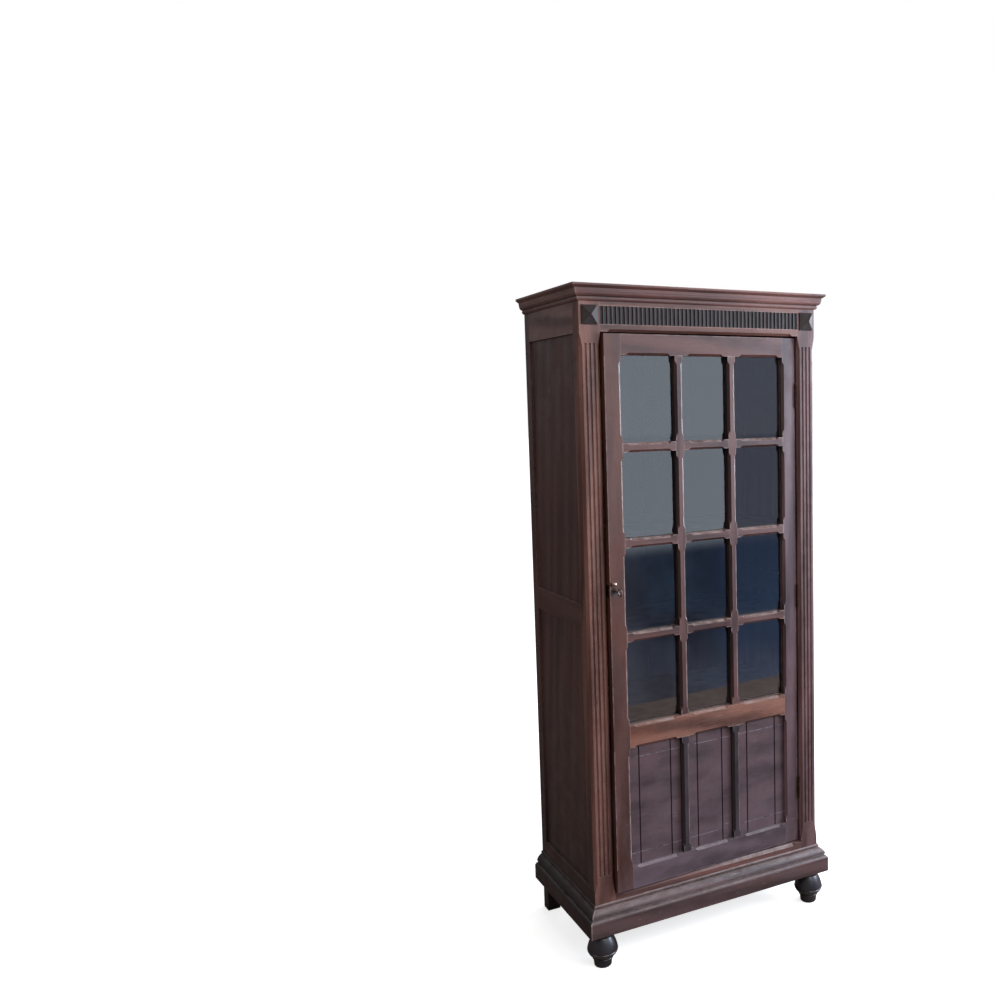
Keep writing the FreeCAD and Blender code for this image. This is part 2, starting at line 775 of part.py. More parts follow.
def feet():
    foot = piece("PartDesign::Body", "front_left_foot")
    x = "foot_side_inset - half_width"
    y = "front_y + foot_front_inset"
    profile = scaled(FOOT_SHARES, "foot_radius", "plinth_bottom")
    revolve(foot, outline(foot, "XZ_Plane", profile, (x, "0", f"-({y})")))
    add_rod(foot, "z", (x, y, "plinth_bottom"), "dowel_length", "dowel_radius - running_clearance")
    mirror("front_right_foot", foot)


def door_arris(body, along, corner, outward, run):
    """One stopped chamfer beside a pane or a panel, kept clear of the corners."""
    inset_run = (f"{run[0]} + door_chamfer_inset", f"{run[1]} - door_chamfer_inset")
    stopped_chamfer(body, along, corner, outward, inset_run, "door_chamfer", "door_chamfer_stop")


def door_stile(name, x, inner, side):
    """A stile with a glass rebate, a panel groove and chamfers; side points to the glass."""
    stile = hang(piece("PartDesign::Body", f"door_{name}_stile"))
    add_box(stile, x, DOOR_DEPTH, ("door_bottom", "door_top"))
    rebate = (f"{inner} - glass_rebate", inner) if side > 0 else (inner, f"{inner} + glass_rebate")
    cut_box(stile, rebate, REBATE_DEPTH, ("glazed_bottom - glass_rebate", "glazed_top + glass_rebate"))
    groove = (f"{inner} - groove_depth", inner) if side > 0 else (inner, f"{inner} + groove_depth")
    cut_box(stile, groove, PANEL_DEPTH, ("lower_bottom - groove_depth", "lower_top + groove_depth"))
    for run in [*ROWS, LOWER_ROW]:
        door_arris(stile, "z", (inner, "door_front"), (side, -1), run)
    return stile


def door_stiles():
    left = door_stile("left", ("door_left", "stile_left"), "stile_left", 1)
    cut_box(left, LOCK_X, ("lock_front", "door_back"), LOCK_Z)
    cut_keyhole(left, "door_front", "lock_case_cover")
    pull = ("pull_x", "door_front", "pull_height")
    cut_rod(left, "y", pull, "pull_shank_length", "pull_shank_radius + running_clearance")
    right = door_stile("right", ("stile_right", "door_right"), "stile_right", -1)
    for place in SCREW_PLACES:
        start = ("door_right", SCREW_Y, place)
        cut_rod(right, "-x", start, "screw_length", "screw_radius + running_clearance")


def door_rail(name, bottom, top, glazed=None, panelled=None, arrises=()):
    """A rail between the stiles; glazed and panelled name the edges that hold glass and panels."""
    rail = hang(piece("PartDesign::Body", f"door_{name}_rail"))
    x = ("stile_left", "stile_right")
    add_box(rail, x, DOOR_DEPTH, (bottom, top))
    if glazed == "below":
        cut_box(rail, x, REBATE_DEPTH, (bottom, f"{bottom} + glass_rebate"))
    if glazed == "above":
        cut_box(rail, x, REBATE_DEPTH, (f"{top} - glass_rebate", top))
    if panelled == "below":
        cut_box(rail, x, PANEL_DEPTH, (bottom, f"{bottom} + groove_depth"))
    if panelled == "above":
        cut_box(rail, x, PANEL_DEPTH, (f"{top} - groove_depth", top))
    for edge, outward in arrises:
        for _, low, high in COLUMNS:
            door_arris(rail, "x", ("door_front", edge), (-1, outward), (low, high))


def door_rails():
    door_rail("top", "glazed_top", "door_top", glazed="below", arrises=[("glazed_top", -1)])
    mid_arrises = [("lower_top", -1), ("glazed_bottom", 1)]
    door_rail("mid", "lower_top", "glazed_bottom", glazed="above", panelled="below", arrises=mid_arrises)
    door_rail("bottom", "door_bottom", "lower_bottom", panelled="above", arrises=[("lower_bottom", 1)])


def upright_bars():
    """Glazing uprights above, with a rib between the panes, and the muntins in line below."""
    for name, side in SIDES:
        inner = f"column_middle + ({side}) * column_half"
        outer = f"column_middle + ({side}) * bar_outer"
        face = (outer, inner) if side < 0 else (inner, outer)
        edges = ((inner, -side), (outer, side))
        upright = hang(piece("PartDesign::Body", f"glazing_upright_{name}"))
        add_box(upright, face, LIP_DEPTH, ("glazed_bottom", "glazed_top"))
        rib = (f"{face[0]} + glass_rebate", f"{face[1]} - glass_rebate")
        add_box(upright, rib, REBATE_DEPTH, ("glazed_bottom - glass_rebate", "glazed_top + glass_rebate"))
        for run in ROWS:
            for edge, outward in edges:
                door_arris(upright, "z", (edge, "door_front"), (outward, -1), run)
        muntin = hang(piece("PartDesign::Body", f"lower_muntin_{name}"))
        add_box(muntin, face, DOOR_DEPTH, LOWER_ROW)
        for edge, outward in edges:
            groove = (edge, f"{edge} + groove_depth") if outward < 0 else (f"{edge} - groove_depth", edge)
            cut_box(muntin, groove, PANEL_DEPTH, LOWER_ROW)
            door_arris(muntin, "z", (edge, "door_front"), (outward, -1), LOWER_ROW)


def cross_bars():
    bars = []
    for _, row_top in ROWS[:3]:
        bottom, top = row_top, f"({row_top} + cross_bar_height)"
        for _, low, high in COLUMNS:
            bar = doc.addObject("PartDesign::Body", "CrossBar")
            add_box(bar, (low, high), LIP_DEPTH, (bottom, top))
            rib_x = (f"{low} - glass_rebate", f"{high} + glass_rebate")
            add_box(bar, rib_x, REBATE_DEPTH, (f"{bottom} + glass_rebate", f"{top} - glass_rebate"))
            for edge, outward in ((bottom, -1), (top, 1)):
                door_arris(bar, "x", ("door_front", edge), (-1, outward), (low, high))
            bars.append(bar)
    hang(group("glazing_cross_bars", bars))


def glass_and_beads():
    panes = []
    beads = []
    bead_y = ("glass_back", "glass_back + bead_depth")
    for _, low, high in COLUMNS:
        for bottom, top in ROWS:
            x = (f"{low} - glass_hold", f"{high} + glass_hold")
            z = (f"{bottom} - glass_hold", f"{top} + glass_hold")
            panes.append(loose_box(x, ("glass_front", "glass_back"), z))
            for bead_z in ((z[0], f"{z[0]} + bead_width"), (f"{z[1]} - bead_width", z[1])):
                beads.append(loose_box(x, bead_y, bead_z))
            between = (f"{z[0]} + bead_width", f"{z[1]} - bead_width")
            for bead_x in ((x[0], f"{x[0]} + bead_width"), (f"{x[1]} - bead_width", x[1])):
                beads.append(loose_box(bead_x, bead_y, between))
    hang(group("glass_panes", panes))
    hang(group("glazing_beads", beads))


def lower_panels():
    """Three flat panels with two deep upright lines and two fine level ones, near their edges."""
    for name, low, high in COLUMNS:
        panel = hang(piece("PartDesign::Body", f"lower_panel_{name}"))
        x = (f"{low} - groove_hold", f"{high} + groove_hold")
        z = ("lower_bottom - groove_hold", "lower_top + groove_hold")
        add_box(panel, x, PANEL_DEPTH, z)
        for middle in (f"{low} + panel_line_inset", f"{high} - panel_line_inset"):
            line_x = (f"{middle} - panel_line_width / 2", f"{middle} + panel_line_width / 2")
            cut_box(panel, line_x, ("panel_front", "panel_front + panel_line_depth"), z)
        for middle in ("lower_bottom + panel_line_inset", "lower_top - panel_line_inset"):
            line_z = (f"{middle} - panel_scribe_width / 2", f"{middle} + panel_scribe_width / 2")
            cut_box(panel, x, ("panel_front", "panel_front + panel_scribe_depth"), line_z)


def hinge_leaf(label, face_x, link_x, knuckles, screw_axis, screw_x):
    """Three butt hinge leaves, each with its knuckles about the pin and countersunk holes."""
    leaf = piece("PartDesign::Body", label)
    for hinge in HINGES:
        height = (f"{hinge} - hinge_height / 2", f"{hinge} + hinge_height / 2")
        add_box(leaf, face_x, ("door_front", "door_front + leaf_depth"), height)
        for low_share, high_share in knuckles:
            low = f"{height[0]} + hinge_height * {low_share} + knuckle_clearance / 2"
            high = f"{height[0]} + hinge_height * {high_share} - knuckle_clearance / 2"
            add_box(leaf, link_x, ("pin_y", "door_front"), (low, high))
            add_rod(leaf, "z", ("pin_x", "pin_y", low), f"({high}) - ({low})", "knuckle_radius")
        bore = ("pin_x", "pin_y", f"{height[0]} - overrun")
        cut_rod(leaf, "z", bore, "hinge_height + 2 * overrun", "pin_radius + running_clearance")
    for place in SCREW_PLACES:
        set_round(
            leaf,
            "SubtractiveCone",
            screw_axis,
            (screw_x, SCREW_Y, place),
            Height="leaf_thickness",
            Radius1="screw_head_radius + running_clearance",
            Radius2="screw_radius + running_clearance",
        )
    return leaf


def hinge_screws(label, axis, head_x, wood_x):
    screws = piece("PartDesign::Body", label)
    for place in SCREW_PLACES:
        set_round(
            screws,
            "AdditiveCone",
            axis,
            (head_x, SCREW_Y, place),
            Height="leaf_thickness",
            Radius1="screw_head_radius",
            Radius2="screw_radius",
        )
        add_rod(screws, axis, (wood_x, SCREW_Y, place), "screw_length - running_clearance", "screw_radius")
    return screws


KNUCKLE_END_SHARES = ((0, 0.333), (0.667, 1))
KNUCKLE_MIDDLE_SHARES = ((0.333, 0.667),)


def hinges():
    case_face = ("opening_half - leaf_thickness", "opening_half")
    hinge_leaf("case_hinge_leaves", case_face, case_face, KNUCKLE_END_SHARES, "x", case_face[0])
    hinge_screws("case_hinge_screws", "x", case_face[0], "opening_half")
    door_face = ("door_right", "door_right + leaf_thickness")
    hang(hinge_leaf("door_hinge_leaves", door_face, door_face, KNUCKLE_MIDDLE_SHARES, "-x", door_face[1]))
    hang(hinge_screws("door_hinge_screws", "-x", door_face[1], "door_right"))
    pins = piece("PartDesign::Body", "hinge_pins")
    for hinge in HINGES:
        bottom = f"{hinge} - hinge_height / 2"
        add_rod(pins, "z", ("pin_x", "pin_y", bottom), "hinge_height", "pin_radius")
        for start in (f"{bottom} - pin_head_height", f"{hinge} + hinge_height / 2"):
            add_rod(pins, "z", ("pin_x", "pin_y", start), "pin_head_height", "pin_head_radius")


LOCK_X = ("door_left", "door_left + lock_case_width")
LOCK_Z = ("key_height - lock_case_below", "key_height + lock_case_above")


def cut_keyhole(body, front, depth):
    """A round hole with a slot below it, through the given depth from the front."""
    cut_rod(body, "y", ("key_x", front, "key_height"), depth, "keyhole_radius")
    slot_x = ("key_x - keyhole_slot / 2", "key_x + keyhole_slot / 2")
    cut_box(body, slot_x, (front, f"{front} + {depth}"), ("keyhole_slot_bottom", "key_height"))


def lock():
    case = hang(piece("PartDesign::Body", "lock_case"))
    add_box(case, LOCK_X, ("lock_front", "door_back"), LOCK_Z)
    cavity_x = (f"{LOCK_X[0]} + lock_wall", f"{LOCK_X[1]} - lock_wall")
    cavity_z = (f"{LOCK_Z[0]} + lock_wall", f"{LOCK_Z[1]} - lock_wall")
    cut_box(case, cavity_x, ("lock_front + lock_wall", "door_back - lock_wall"), cavity_z)
    cut_box(case, (LOCK_X[0], cavity_x[0]), *BOLT_SLOT)
    cut_keyhole(case, "lock_front", "lock_wall")
    bolt = hang(piece("PartDesign::Body", "lock_bolt"))
    bolt_x = ("door_left", "door_left + bolt_length")
    add_box(bolt, bolt_x, ("bolt_front", "bolt_back"), ("bolt_bottom", "bolt_top"))
    notch = ("key_x", "bolt_front", "bolt_bottom")
    cut_rod(bolt, "y", notch, "bolt_thickness", "bolt_height / 3")


def keyhole_plate():
    plate = hang(piece("PartDesign::Body", "keyhole_plate"))
    front = "door_front - plate_thickness"
    top = "(key_height + plate_rise - plate_radius)"
    bottom = "(key_height + plate_rise - plate_length + plate_radius)"
    add_box(plate, ("key_x - plate_radius", "key_x + plate_radius"), (front, "door_front"), (bottom, top))
    for end in (top, bottom):
        add_rod(plate, "y", ("key_x", front, end), "plate_thickness", "plate_radius")
    cut_keyhole(plate, front, "plate_thickness")


def key():
    """Round shank with a ring bow outside the door and a flat bit inside the lock, bit down."""
    made = hang(piece("PartDesign::Body", "key"))
    bow_y = "door_front - key_neck - key_bow_radius - key_bow_wire"
    tip_y = "door_front - key_neck - key_bow_wire"
    ring = set_round(
        made,
        "AdditiveTorus",
        "x",
        ("key_x", bow_y, "key_height"),
        Radius1="key_bow_radius",
        Radius2="key_bow_wire",
    )
    ring.Angle3 = 360
    add_rod(made, "y", ("key_x", tip_y, "key_height"), "key_neck + key_bow_wire + key_tail", "key_radius")
    collar = ("key_x", "door_front - key_neck + key_bow_wire", "key_height")
    add_rod(made, "y", collar, "key_collar_length", "key_collar_radius")
    bit_x = ("key_x - key_bit_thickness / 2", "key_x + key_bit_thickness / 2")
    bit_y = ("door_front + key_bit_start", "door_front + key_bit_start + key_bit_length")
    add_box(made, bit_x, bit_y, ("key_height - key_bit_reach", "key_height"))


def pull():
    """A ball on a short neck and a round rose, with a shank in the stile."""
    made = hang(piece("PartDesign::Body", "door_pull"))
    ball = ("pull_x", "door_front - pull_length + pull_radius", "pull_height")
    set_round(made, "AdditiveSphere", "z", ball, Radius="pull_radius")
    add_rod(made, "y", ball, "pull_length - pull_radius", "pull_neck_radius")
    rose = ("pull_x", "door_front - pull_rose_thickness", "pull_height")
    add_rod(made, "y", rose, "pull_rose_thickness", "pull_rose_radius")
    shank = ("pull_x", "door_front", "pull_height")
    add_rod(made, "y", shank, "pull_shank_length", "pull_shank_radius")


def build():
    fill_sheet()
    front_posts()
    rear_posts()
    sides()
    frieze()
    group("corner_bosses", [boss(side) for _, side in SIDES])
    back_and_boards()
    shelves()
    moulding("cornice", CORNICE_SHARES, "cornice_bottom", "cornice_height", "cornice_reach")
    moulding("plinth", PLINTH_SHARES, "plinth_bottom", "plinth_height", "plinth_reach")
    feet()
    strike_and_stop()
    hinges()
    door_stiles()
    door_rails()
    upright_bars()
    cross_bars()
    glass_and_beads()
    lower_panels()
    lock()
    keyhole_plate()
    key()
    pull()
    doc.recompute()


def check():
    for made in doc.Objects:
        if "Invalid" in made.State or "Error" in made.State:
            raise RuntimeError(f"{made.Label} failed: {made.State}")
    for made in pieces:
        if made.Shape.isNull() or not made.Shape.isValid() or not made.Shape.Solids:
            raise RuntimeError(f"{made.Label} has no valid solid")


def export():
    os.makedirs("parts", exist_ok=True)
    for made in pieces:
        made.Shape.exportStep(f"parts/{made.Label}.step")
        print(made.Label, len(made.Shape.Solids), round(made.Shape.Volume))


build()
check()
export()
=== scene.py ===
# %% [markdown]
# # A one-door glazed bookcase in old stained wood
#
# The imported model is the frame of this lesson: sixty separate pieces, each already in its place
# and on the body that it moves with. Nothing below moves or reshapes them. The lesson adds what
# a drawing of the joinery lacks: stained wood whose grain follows each board, edges rubbed pale
# by hands and cloths, old glass, iron and brass, and the light of the photograph.

# %% Load the frame
import math

import bmesh
import bpy
from mathutils import Matrix, Vector

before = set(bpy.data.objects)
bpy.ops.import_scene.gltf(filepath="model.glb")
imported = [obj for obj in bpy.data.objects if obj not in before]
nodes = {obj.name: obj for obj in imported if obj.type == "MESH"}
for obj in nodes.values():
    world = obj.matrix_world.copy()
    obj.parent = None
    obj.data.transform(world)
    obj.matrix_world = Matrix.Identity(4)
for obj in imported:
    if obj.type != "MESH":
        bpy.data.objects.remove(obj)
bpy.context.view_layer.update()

print("pieces in the frame:", len(nodes))

# %% [markdown]
# ## The camera
#
# The camera comes first, because every later choice is judged through it. Its place and lens
# were worked out from corners of the cornice, the plinth and the feet, measured in the
# photograph. The cabinet stands to the right of the picture's middle, so the lens is shifted
# and the camera keeps the photograph's own perspective.

# %% Camera at the photograph's viewing angle
PICTURE_WIDE, PICTURE_HIGH = 994, 995
FOCAL_PIXELS = 987.16
PRINCIPAL_X, PRINCIPAL_Y = 690.85, 508.77
YAW, PITCH, ROLL = 0.5089, 0.0996, -0.0181
CAMERA_PLACE = Vector((-1.4185, -2.6232, 1.5626))


def camera_turn():
    """The camera's own axes as columns, from how far it looks to the right, down and askew."""
    flat = math.cos(PITCH)
    ahead = Vector((math.sin(YAW) * flat, math.cos(YAW) * flat, -math.sin(PITCH)))
    level = Vector((math.cos(YAW), -math.sin(YAW), 0))
    upward = level.cross(ahead)
    right = math.cos(ROLL) * level + math.sin(ROLL) * upward
    up = math.cos(ROLL) * upward - math.sin(ROLL) * level
    return Matrix((right, up, -ahead)).transposed().to_4x4()


lens = bpy.data.cameras.new("photo_camera")
lens.lens = FOCAL_PIXELS / PICTURE_HIGH * lens.sensor_width
lens.shift_x = (PICTURE_WIDE / 2 - PRINCIPAL_X) / PICTURE_HIGH
lens.shift_y = (PRINCIPAL_Y - PICTURE_HIGH / 2) / PICTURE_HIGH
camera = bpy.data.objects.new("photo_camera", lens)
camera.matrix_world = Matrix.Translation(CAMERA_PLACE) @ camera_turn()
bpy.context.scene.collection.objects.link(camera)
bpy.context.scene.camera = camera
print("lens", round(lens.lens, 2), "mm, shift", round(lens.shift_x, 3), round(lens.shift_y, 3))

# %% [markdown]
# ## Small tools for materials
#
# A material is a tree of nodes, and wiring it by hand takes many lines. These helpers make a
# node, set or link its inputs, and hand back a socket, so that a finish reads from top to
# bottom like a recipe. Colours are written as red, green and blue from 0 to 255, as a picture
# editor shows them, and turned into the linear light that the shader works in.

# %% Colours and nodes


def paint(red, green, blue):
    """A colour as seen on a screen, in linear light by the sRGB curve, with full alpha."""
    def linear(part):
        part /= 255
        return part / 12.92 if part <= 0.04045 else ((part + 0.055) / 1.055) ** 2.4
    return (linear(red), linear(green), linear(blue), 1)


def feed(tree, socket, value):
    """Links a socket to the value if that is a socket, and otherwise sets it."""
    if isinstance(value, bpy.types.NodeSocket):
        tree.links.new(value, socket)
    else:
        socket.default_value = value


def add(tree, kind, inputs=(), **settings):
    """A new node with its settings made and its inputs fed."""
    made = tree.nodes.new("ShaderNode" + kind)
    for name, value in settings.items():
        setattr(made, name, value)
    for name, value in dict(inputs).items():
        feed(tree, made.inputs[name], value)
    return made


def new_material(name):
    """A new material, with its tree of nodes and its shader."""
    material = bpy.data.materials.new(name)
    material.use_nodes = True
    return material, material.node_tree, material.node_tree.nodes["Principled BSDF"]


def settle(shader, values):
    """Sets a shader's own sockets to values that are the same all over."""
    for name, value in values.items():
        shader.inputs[name].default_value = value


print("a screen's grey 128 in linear light:", round(paint(128, 128, 128)[0], 3))

# %% Arithmetic on masks, colours and vectors
MIX_INPUTS, MIX_RESULT = (0, 6, 7), 2


def sums(tree, operation, first, second=0.0, third=0.0):
    """One step of arithmetic on numbers, held between 0 and 1."""
    made = add(tree, "Math", operation=operation, use_clamp=True)
    for socket, value in zip(made.inputs, (first, second, third)):
        feed(tree, socket, value)
    return made.outputs[0]


def times(tree, first, *others):
    """A mask times one or more others."""
    for other in others:
        first = sums(tree, "MULTIPLY", first, other)
    return first


def at_least(tree, mask, least):
    """A mask squeezed so that it runs from the least value up to 1."""
    return sums(tree, "MULTIPLY_ADD", mask, 1 - least, least)


def blend_colours(tree, share, low, high):
    """One colour laid over another by a share from 0 to 1."""
    made = add(tree, "Mix", data_type="RGBA")
    for place, value in zip(MIX_INPUTS, (share, low, high)):
        feed(tree, made.inputs[place], value)
    return made.outputs[MIX_RESULT]


def lay(tree, colour, mask, strength, top):
    """A colour with another on top, as strongly as the mask and the strength say."""
    return blend_colours(tree, times(tree, mask, strength), colour, top)


def vectors(tree, operation, first, second):
    """One step of arithmetic on two vectors, as the node's outputs."""
    made = add(tree, "VectorMath", operation=operation)
    feed(tree, made.inputs[0], first)
    feed(tree, made.inputs[1], second)
    return made.outputs


def scaled(tree, vector, sizes):
    """A vector with each part times its own number."""
    return vectors(tree, "MULTIPLY", vector, sizes)["Vector"]


def leaning(tree, normal, way):
    """How far a normal leans along a way: 1 straight along it, 0 across it."""
    return vectors(tree, "DOT_PRODUCT", normal, way)["Value"]


print("helpers for masks, colours and vectors are ready")

# %% Patterns and shared effects


def stretch(tree, value, low, high, to_low=0.0, to_high=1.0):
    """A value's range from low to high, spread over another range and cut off outside it."""
    spread = {
        "Value": value, "From Min": low, "From Max": high, "To Min": to_low, "To Max": to_high,
    }
    return add(tree, "MapRange", spread, interpolation_type="SMOOTHSTEP").outputs[0]


def noise(tree, vector, scale, detail=2.0, roughness=0.5):
    """Cloudy noise from 0 to 1, finer with a larger scale."""
    inputs = {"Vector": vector, "Scale": scale, "Detail": detail, "Roughness": roughness}
    return add(tree, "TexNoise", inputs).outputs[0]


def effect(name, inputs, outputs):
    """A new shader node group: its tree, what comes in, and where it goes out."""
    tree = bpy.data.node_groups.new(name, "ShaderNodeTree")
    for label, kind, start in inputs:
        socket = tree.interface.new_socket(
            label, in_out="INPUT", socket_type="NodeSocket" + kind)
        if start is not None:
            socket.default_value = start
    for label, kind in outputs:
        tree.interface.new_socket(label, in_out="OUTPUT", socket_type="NodeSocket" + kind)
    return tree, tree.nodes.new("NodeGroupInput").outputs, tree.nodes.new("NodeGroupOutput").inputs


def use(tree, group, inputs):
    """The group placed in a material, with its own values, as its outputs."""
    made = add(tree, "Group", node_tree=group)
    for name, value in inputs.items():
        feed(tree, made.inputs[name], value)
    return made.outputs


print("helpers for patterns and shared effects are ready")

# %% [markdown]
# ## Grain
#
# The wood is a coarse-grained brown hardwood. Its grain is long, so one pattern serves every
# board if the board's length is first turned to lie along X. Broad bands give the annual rings,
# fine noise pulled out along X gives the fibres, and short dark dashes are open pores. A
# photograph of wood would be quicker, but a pattern made of nodes has no seams and no edge where
# it repeats.

# %% The grain effect
BAND_PULL, BAND_SCALE, BAND_WAVINESS = (0.1, 1, 1), 9.0, 5.0
FIBRE_PULL, FIBRE_SCALE = (0.025, 1, 1), 420.0
PORE_PULL, PORE_SCALE = (0.06, 1, 1), 900.0
PORE_RANGE = (0.6, 0.72)
BAND_SHARE, FIBRE_SHARE = 0.4, 0.6
PORE_DEPTH = 0.7

grain, at, out = effect(
    "grain",
    [("Vector", "Vector", None), ("Band scale", "Float", BAND_SCALE),
     ("Waviness", "Float", BAND_WAVINESS)],
    [("Tone", "Float"), ("Pores", "Float"), ("Height", "Float")],
)
bands = add(grain, "TexWave", {
    "Vector": scaled(grain, at["Vector"], BAND_PULL), "Scale": at["Band scale"],
    "Distortion": at["Waviness"], "Detail": 3.0, "Detail Scale": 1.4, "Detail Roughness": 0.6,
}, wave_type="BANDS", bands_direction="DIAGONAL").outputs["Fac"]
along_fibres = scaled(grain, at["Vector"], FIBRE_PULL)
fibres = noise(grain, along_fibres, FIBRE_SCALE, detail=4.0, roughness=0.65)
specks = noise(grain, scaled(grain, at["Vector"], PORE_PULL), PORE_SCALE, detail=1.0)
pores = stretch(grain, specks, *PORE_RANGE)
fine_tone = times(grain, fibres, FIBRE_SHARE)
feed(grain, out["Tone"], sums(grain, "MULTIPLY_ADD", bands, BAND_SHARE, fine_tone))
feed(grain, out["Pores"], pores)
feed(grain, out["Height"], sums(grain, "SUBTRACT", fibres, times(grain, pores, PORE_DEPTH)))
print("effect:", grain.name)

# %% [markdown]
# ## Rubbed edges, and grime and painted shade in corners
#
# A century of dusting wears the stain off every proud edge, and every corner is darkened, partly
# as grime and partly as painted shade. Occlusion finds both: measured inside the wood it is low
# only near an outward edge, and measured outside it is low only in a hollow. Both look at one
# piece alone, so the wear and the painted shade stay with the piece when the door swings. A
# board's ends are glued to the next board and can't be rubbed, so the wear keeps to edges that
# run along the grain: there a rounded normal leans across the board, and at an end it leans
# along it. Noise breaks the wear up, because no edge is worn evenly.

# %% The wear and corner shade effect
EDGE_REACH, CORNER_REACH, EDGE_ROUNDING = 0.004, 0.01, 0.003
EDGE_RANGE, HOLLOW_RANGE = (0.96, 0.55), (0.9, 0.35)
END_RANGE = (0.4, 0.1)
WEAR_SCALE, WEAR_RANGE, LEAST_WORN = 38.0, (0.36, 0.66), 0.2

wear_and_shade, at, out = effect(
    "wear_and_shade",
    [("Vector", "Vector", None), ("Along", "Vector", (0, 0, 0)),
     ("Edge reach", "Float", EDGE_REACH), ("Corner reach", "Float", CORNER_REACH),
     ("Amount", "Float", 0.7)],
    [("Rubbed", "Float"), ("Grime and shade", "Float")],
)
edges = add(wear_and_shade, "AmbientOcclusion", {"Distance": at["Edge reach"]},
            inside=True, only_local=True, samples=8).outputs["AO"]
hollows = add(wear_and_shade, "AmbientOcclusion", {"Distance": at["Corner reach"]},
              only_local=True, samples=8).outputs["AO"]
patches = stretch(
    wear_and_shade, noise(wear_and_shade, at["Vector"], WEAR_SCALE, detail=5.0, roughness=0.65), *WEAR_RANGE)
rounded = add(wear_and_shade, "Bevel", {"Radius": EDGE_ROUNDING}, samples=4).outputs[0]
rounded = add(wear_and_shade, "VectorTransform", {"Vector": rounded}, vector_type="NORMAL",
              convert_from="WORLD", convert_to="OBJECT").outputs[0]
at_end = add(wear_and_shade, "Math", operation="ABSOLUTE")
feed(wear_and_shade, at_end.inputs[0], leaning(wear_and_shade, rounded, at["Along"]))
rubbed = times(
    wear_and_shade, stretch(wear_and_shade, edges, *EDGE_RANGE), stretch(wear_and_shade, at_end.outputs[0], *END_RANGE),
    at_least(wear_and_shade, patches, LEAST_WORN), at["Amount"])
feed(wear_and_shade, out["Rubbed"], rubbed)
# Low occlusion in hollows darkens them, partly as grime and partly as painted shade.
feed(wear_and_shade, out["Grime and shade"], stretch(wear_and_shade, hollows, *HOLLOW_RANGE))
print("effect:", wear_and_shade.name)

# %% [markdown]
# ## Scuffs and bloom
#
# Low down, where feet and brooms pass, the polish is scratched and has a grey bloom. The
# scratches are noise pulled out from left to right and cut off near its top, which leaves short
# pale dashes. The bloom is a soft cloud that thins out with height, and the same cloud gives the
# patches of redder stain.

# %% The scuffs effect
SCUFF_PULL, SCUFF_SCALE, SCUFF_RANGE = (9, 90, 90), 2.4, (0.66, 0.74)
KNEE_HEIGHT, TOE_HEIGHT = 0.95, 0.1
LEAST_SCUFFED = 0.2
CLOUD_PULL, CLOUD_SCALE = (0.35, 1, 1), 9.0
BLOOM_RANGE, CLOUD_RANGE = (0.3, 0.65), (0.35, 0.7)

scuffs, at, out = effect(
    "scuffs",
    [("Vector", "Vector", None), ("Place", "Vector", None), ("Cloud pull", "Vector", CLOUD_PULL)],
    [("Scuffs", "Float"), ("Bloom", "Float"), ("Clouds", "Float")],
)
streaks = noise(
    scuffs, scaled(scuffs, at["Place"], SCUFF_PULL), SCUFF_SCALE, detail=3.0, roughness=0.7)
dashes = stretch(scuffs, streaks, *SCUFF_RANGE)
clouds = noise(
    scuffs, scaled(scuffs, at["Vector"], at["Cloud pull"]), CLOUD_SCALE, detail=4.0, roughness=0.6)
height = add(scuffs, "SeparateXYZ", {"Vector": at["Place"]}).outputs["Z"]
lowness = stretch(scuffs, height, KNEE_HEIGHT, TOE_HEIGHT)
feed(scuffs, out["Scuffs"], times(scuffs, dashes, at_least(scuffs, lowness, LEAST_SCUFFED)))
feed(scuffs, out["Bloom"], times(scuffs, lowness, stretch(scuffs, clouds, *BLOOM_RANGE)))
feed(scuffs, out["Clouds"], stretch(scuffs, clouds, *CLOUD_RANGE))
print("effect:", scuffs.name)

# %% [markdown]
# ## Dust
#
# Dust lies on what faces up: the cornice, the plinth's mouldings, the shelves. The surface's
# own normal tells which way it faces, and noise makes the layer uneven.

# %% The dust effect
DUST_TILT_RANGE = (0.55, 0.95)
DUST_SCALE, DUST_RANGE = 26.0, (0.25, 0.6)

dust, at, out = effect(
    "dust", [("Vector", "Vector", None), ("Amount", "Float", 0.35)], [("Dust", "Float")])
normal = add(dust, "NewGeometry").outputs["Normal"]
facing_up = add(dust, "SeparateXYZ", {"Vector": normal}).outputs["Z"]
uneven = stretch(dust, noise(dust, at["Vector"], DUST_SCALE, detail=5.0), *DUST_RANGE)
feed(dust, out["Dust"], times(
    dust, stretch(dust, facing_up, *DUST_TILT_RANGE), at["Amount"], uneven))
print("effect:", dust.name)

# %% [markdown]
# ## Marks and painted light that depend on place
#
# Some marks need more than an edge or a hollow. Arrises that slant towards the light are
# painted a chalky pink, partly as wear and partly as painted highlight. Faces turned away from
# it are painted dark, as painted shade, and what stands low is painted darker, as painted shade.
# A few lines scribed across the panels show as broken pale scratches. A normal in the piece's
# own space tells how a face is turned, and it stays the same when the door swings, so the marks
# and the painted light and shade move with the wood.

# %% Which way a face is turned
FACING_RANGE = (0.93, 0.98)
# Arrises facing these ways are painted pale, partly as wear and partly as painted highlight.
LIT_ARRISES = (Vector((0.5, -0.5, 0.71)), Vector((0.71, -0.71, 0)), Vector((0, -0.71, 0.71)))
LEFT_FACE, LEFT_FRONT_CHAMFER = Vector((-1, 0, 0)), Vector((-0.71, -0.71, 0))
# Faces turned away from the light, which are painted dark as painted shade.
SHADED_FACES = (LEFT_FACE, LEFT_FRONT_CHAMFER)


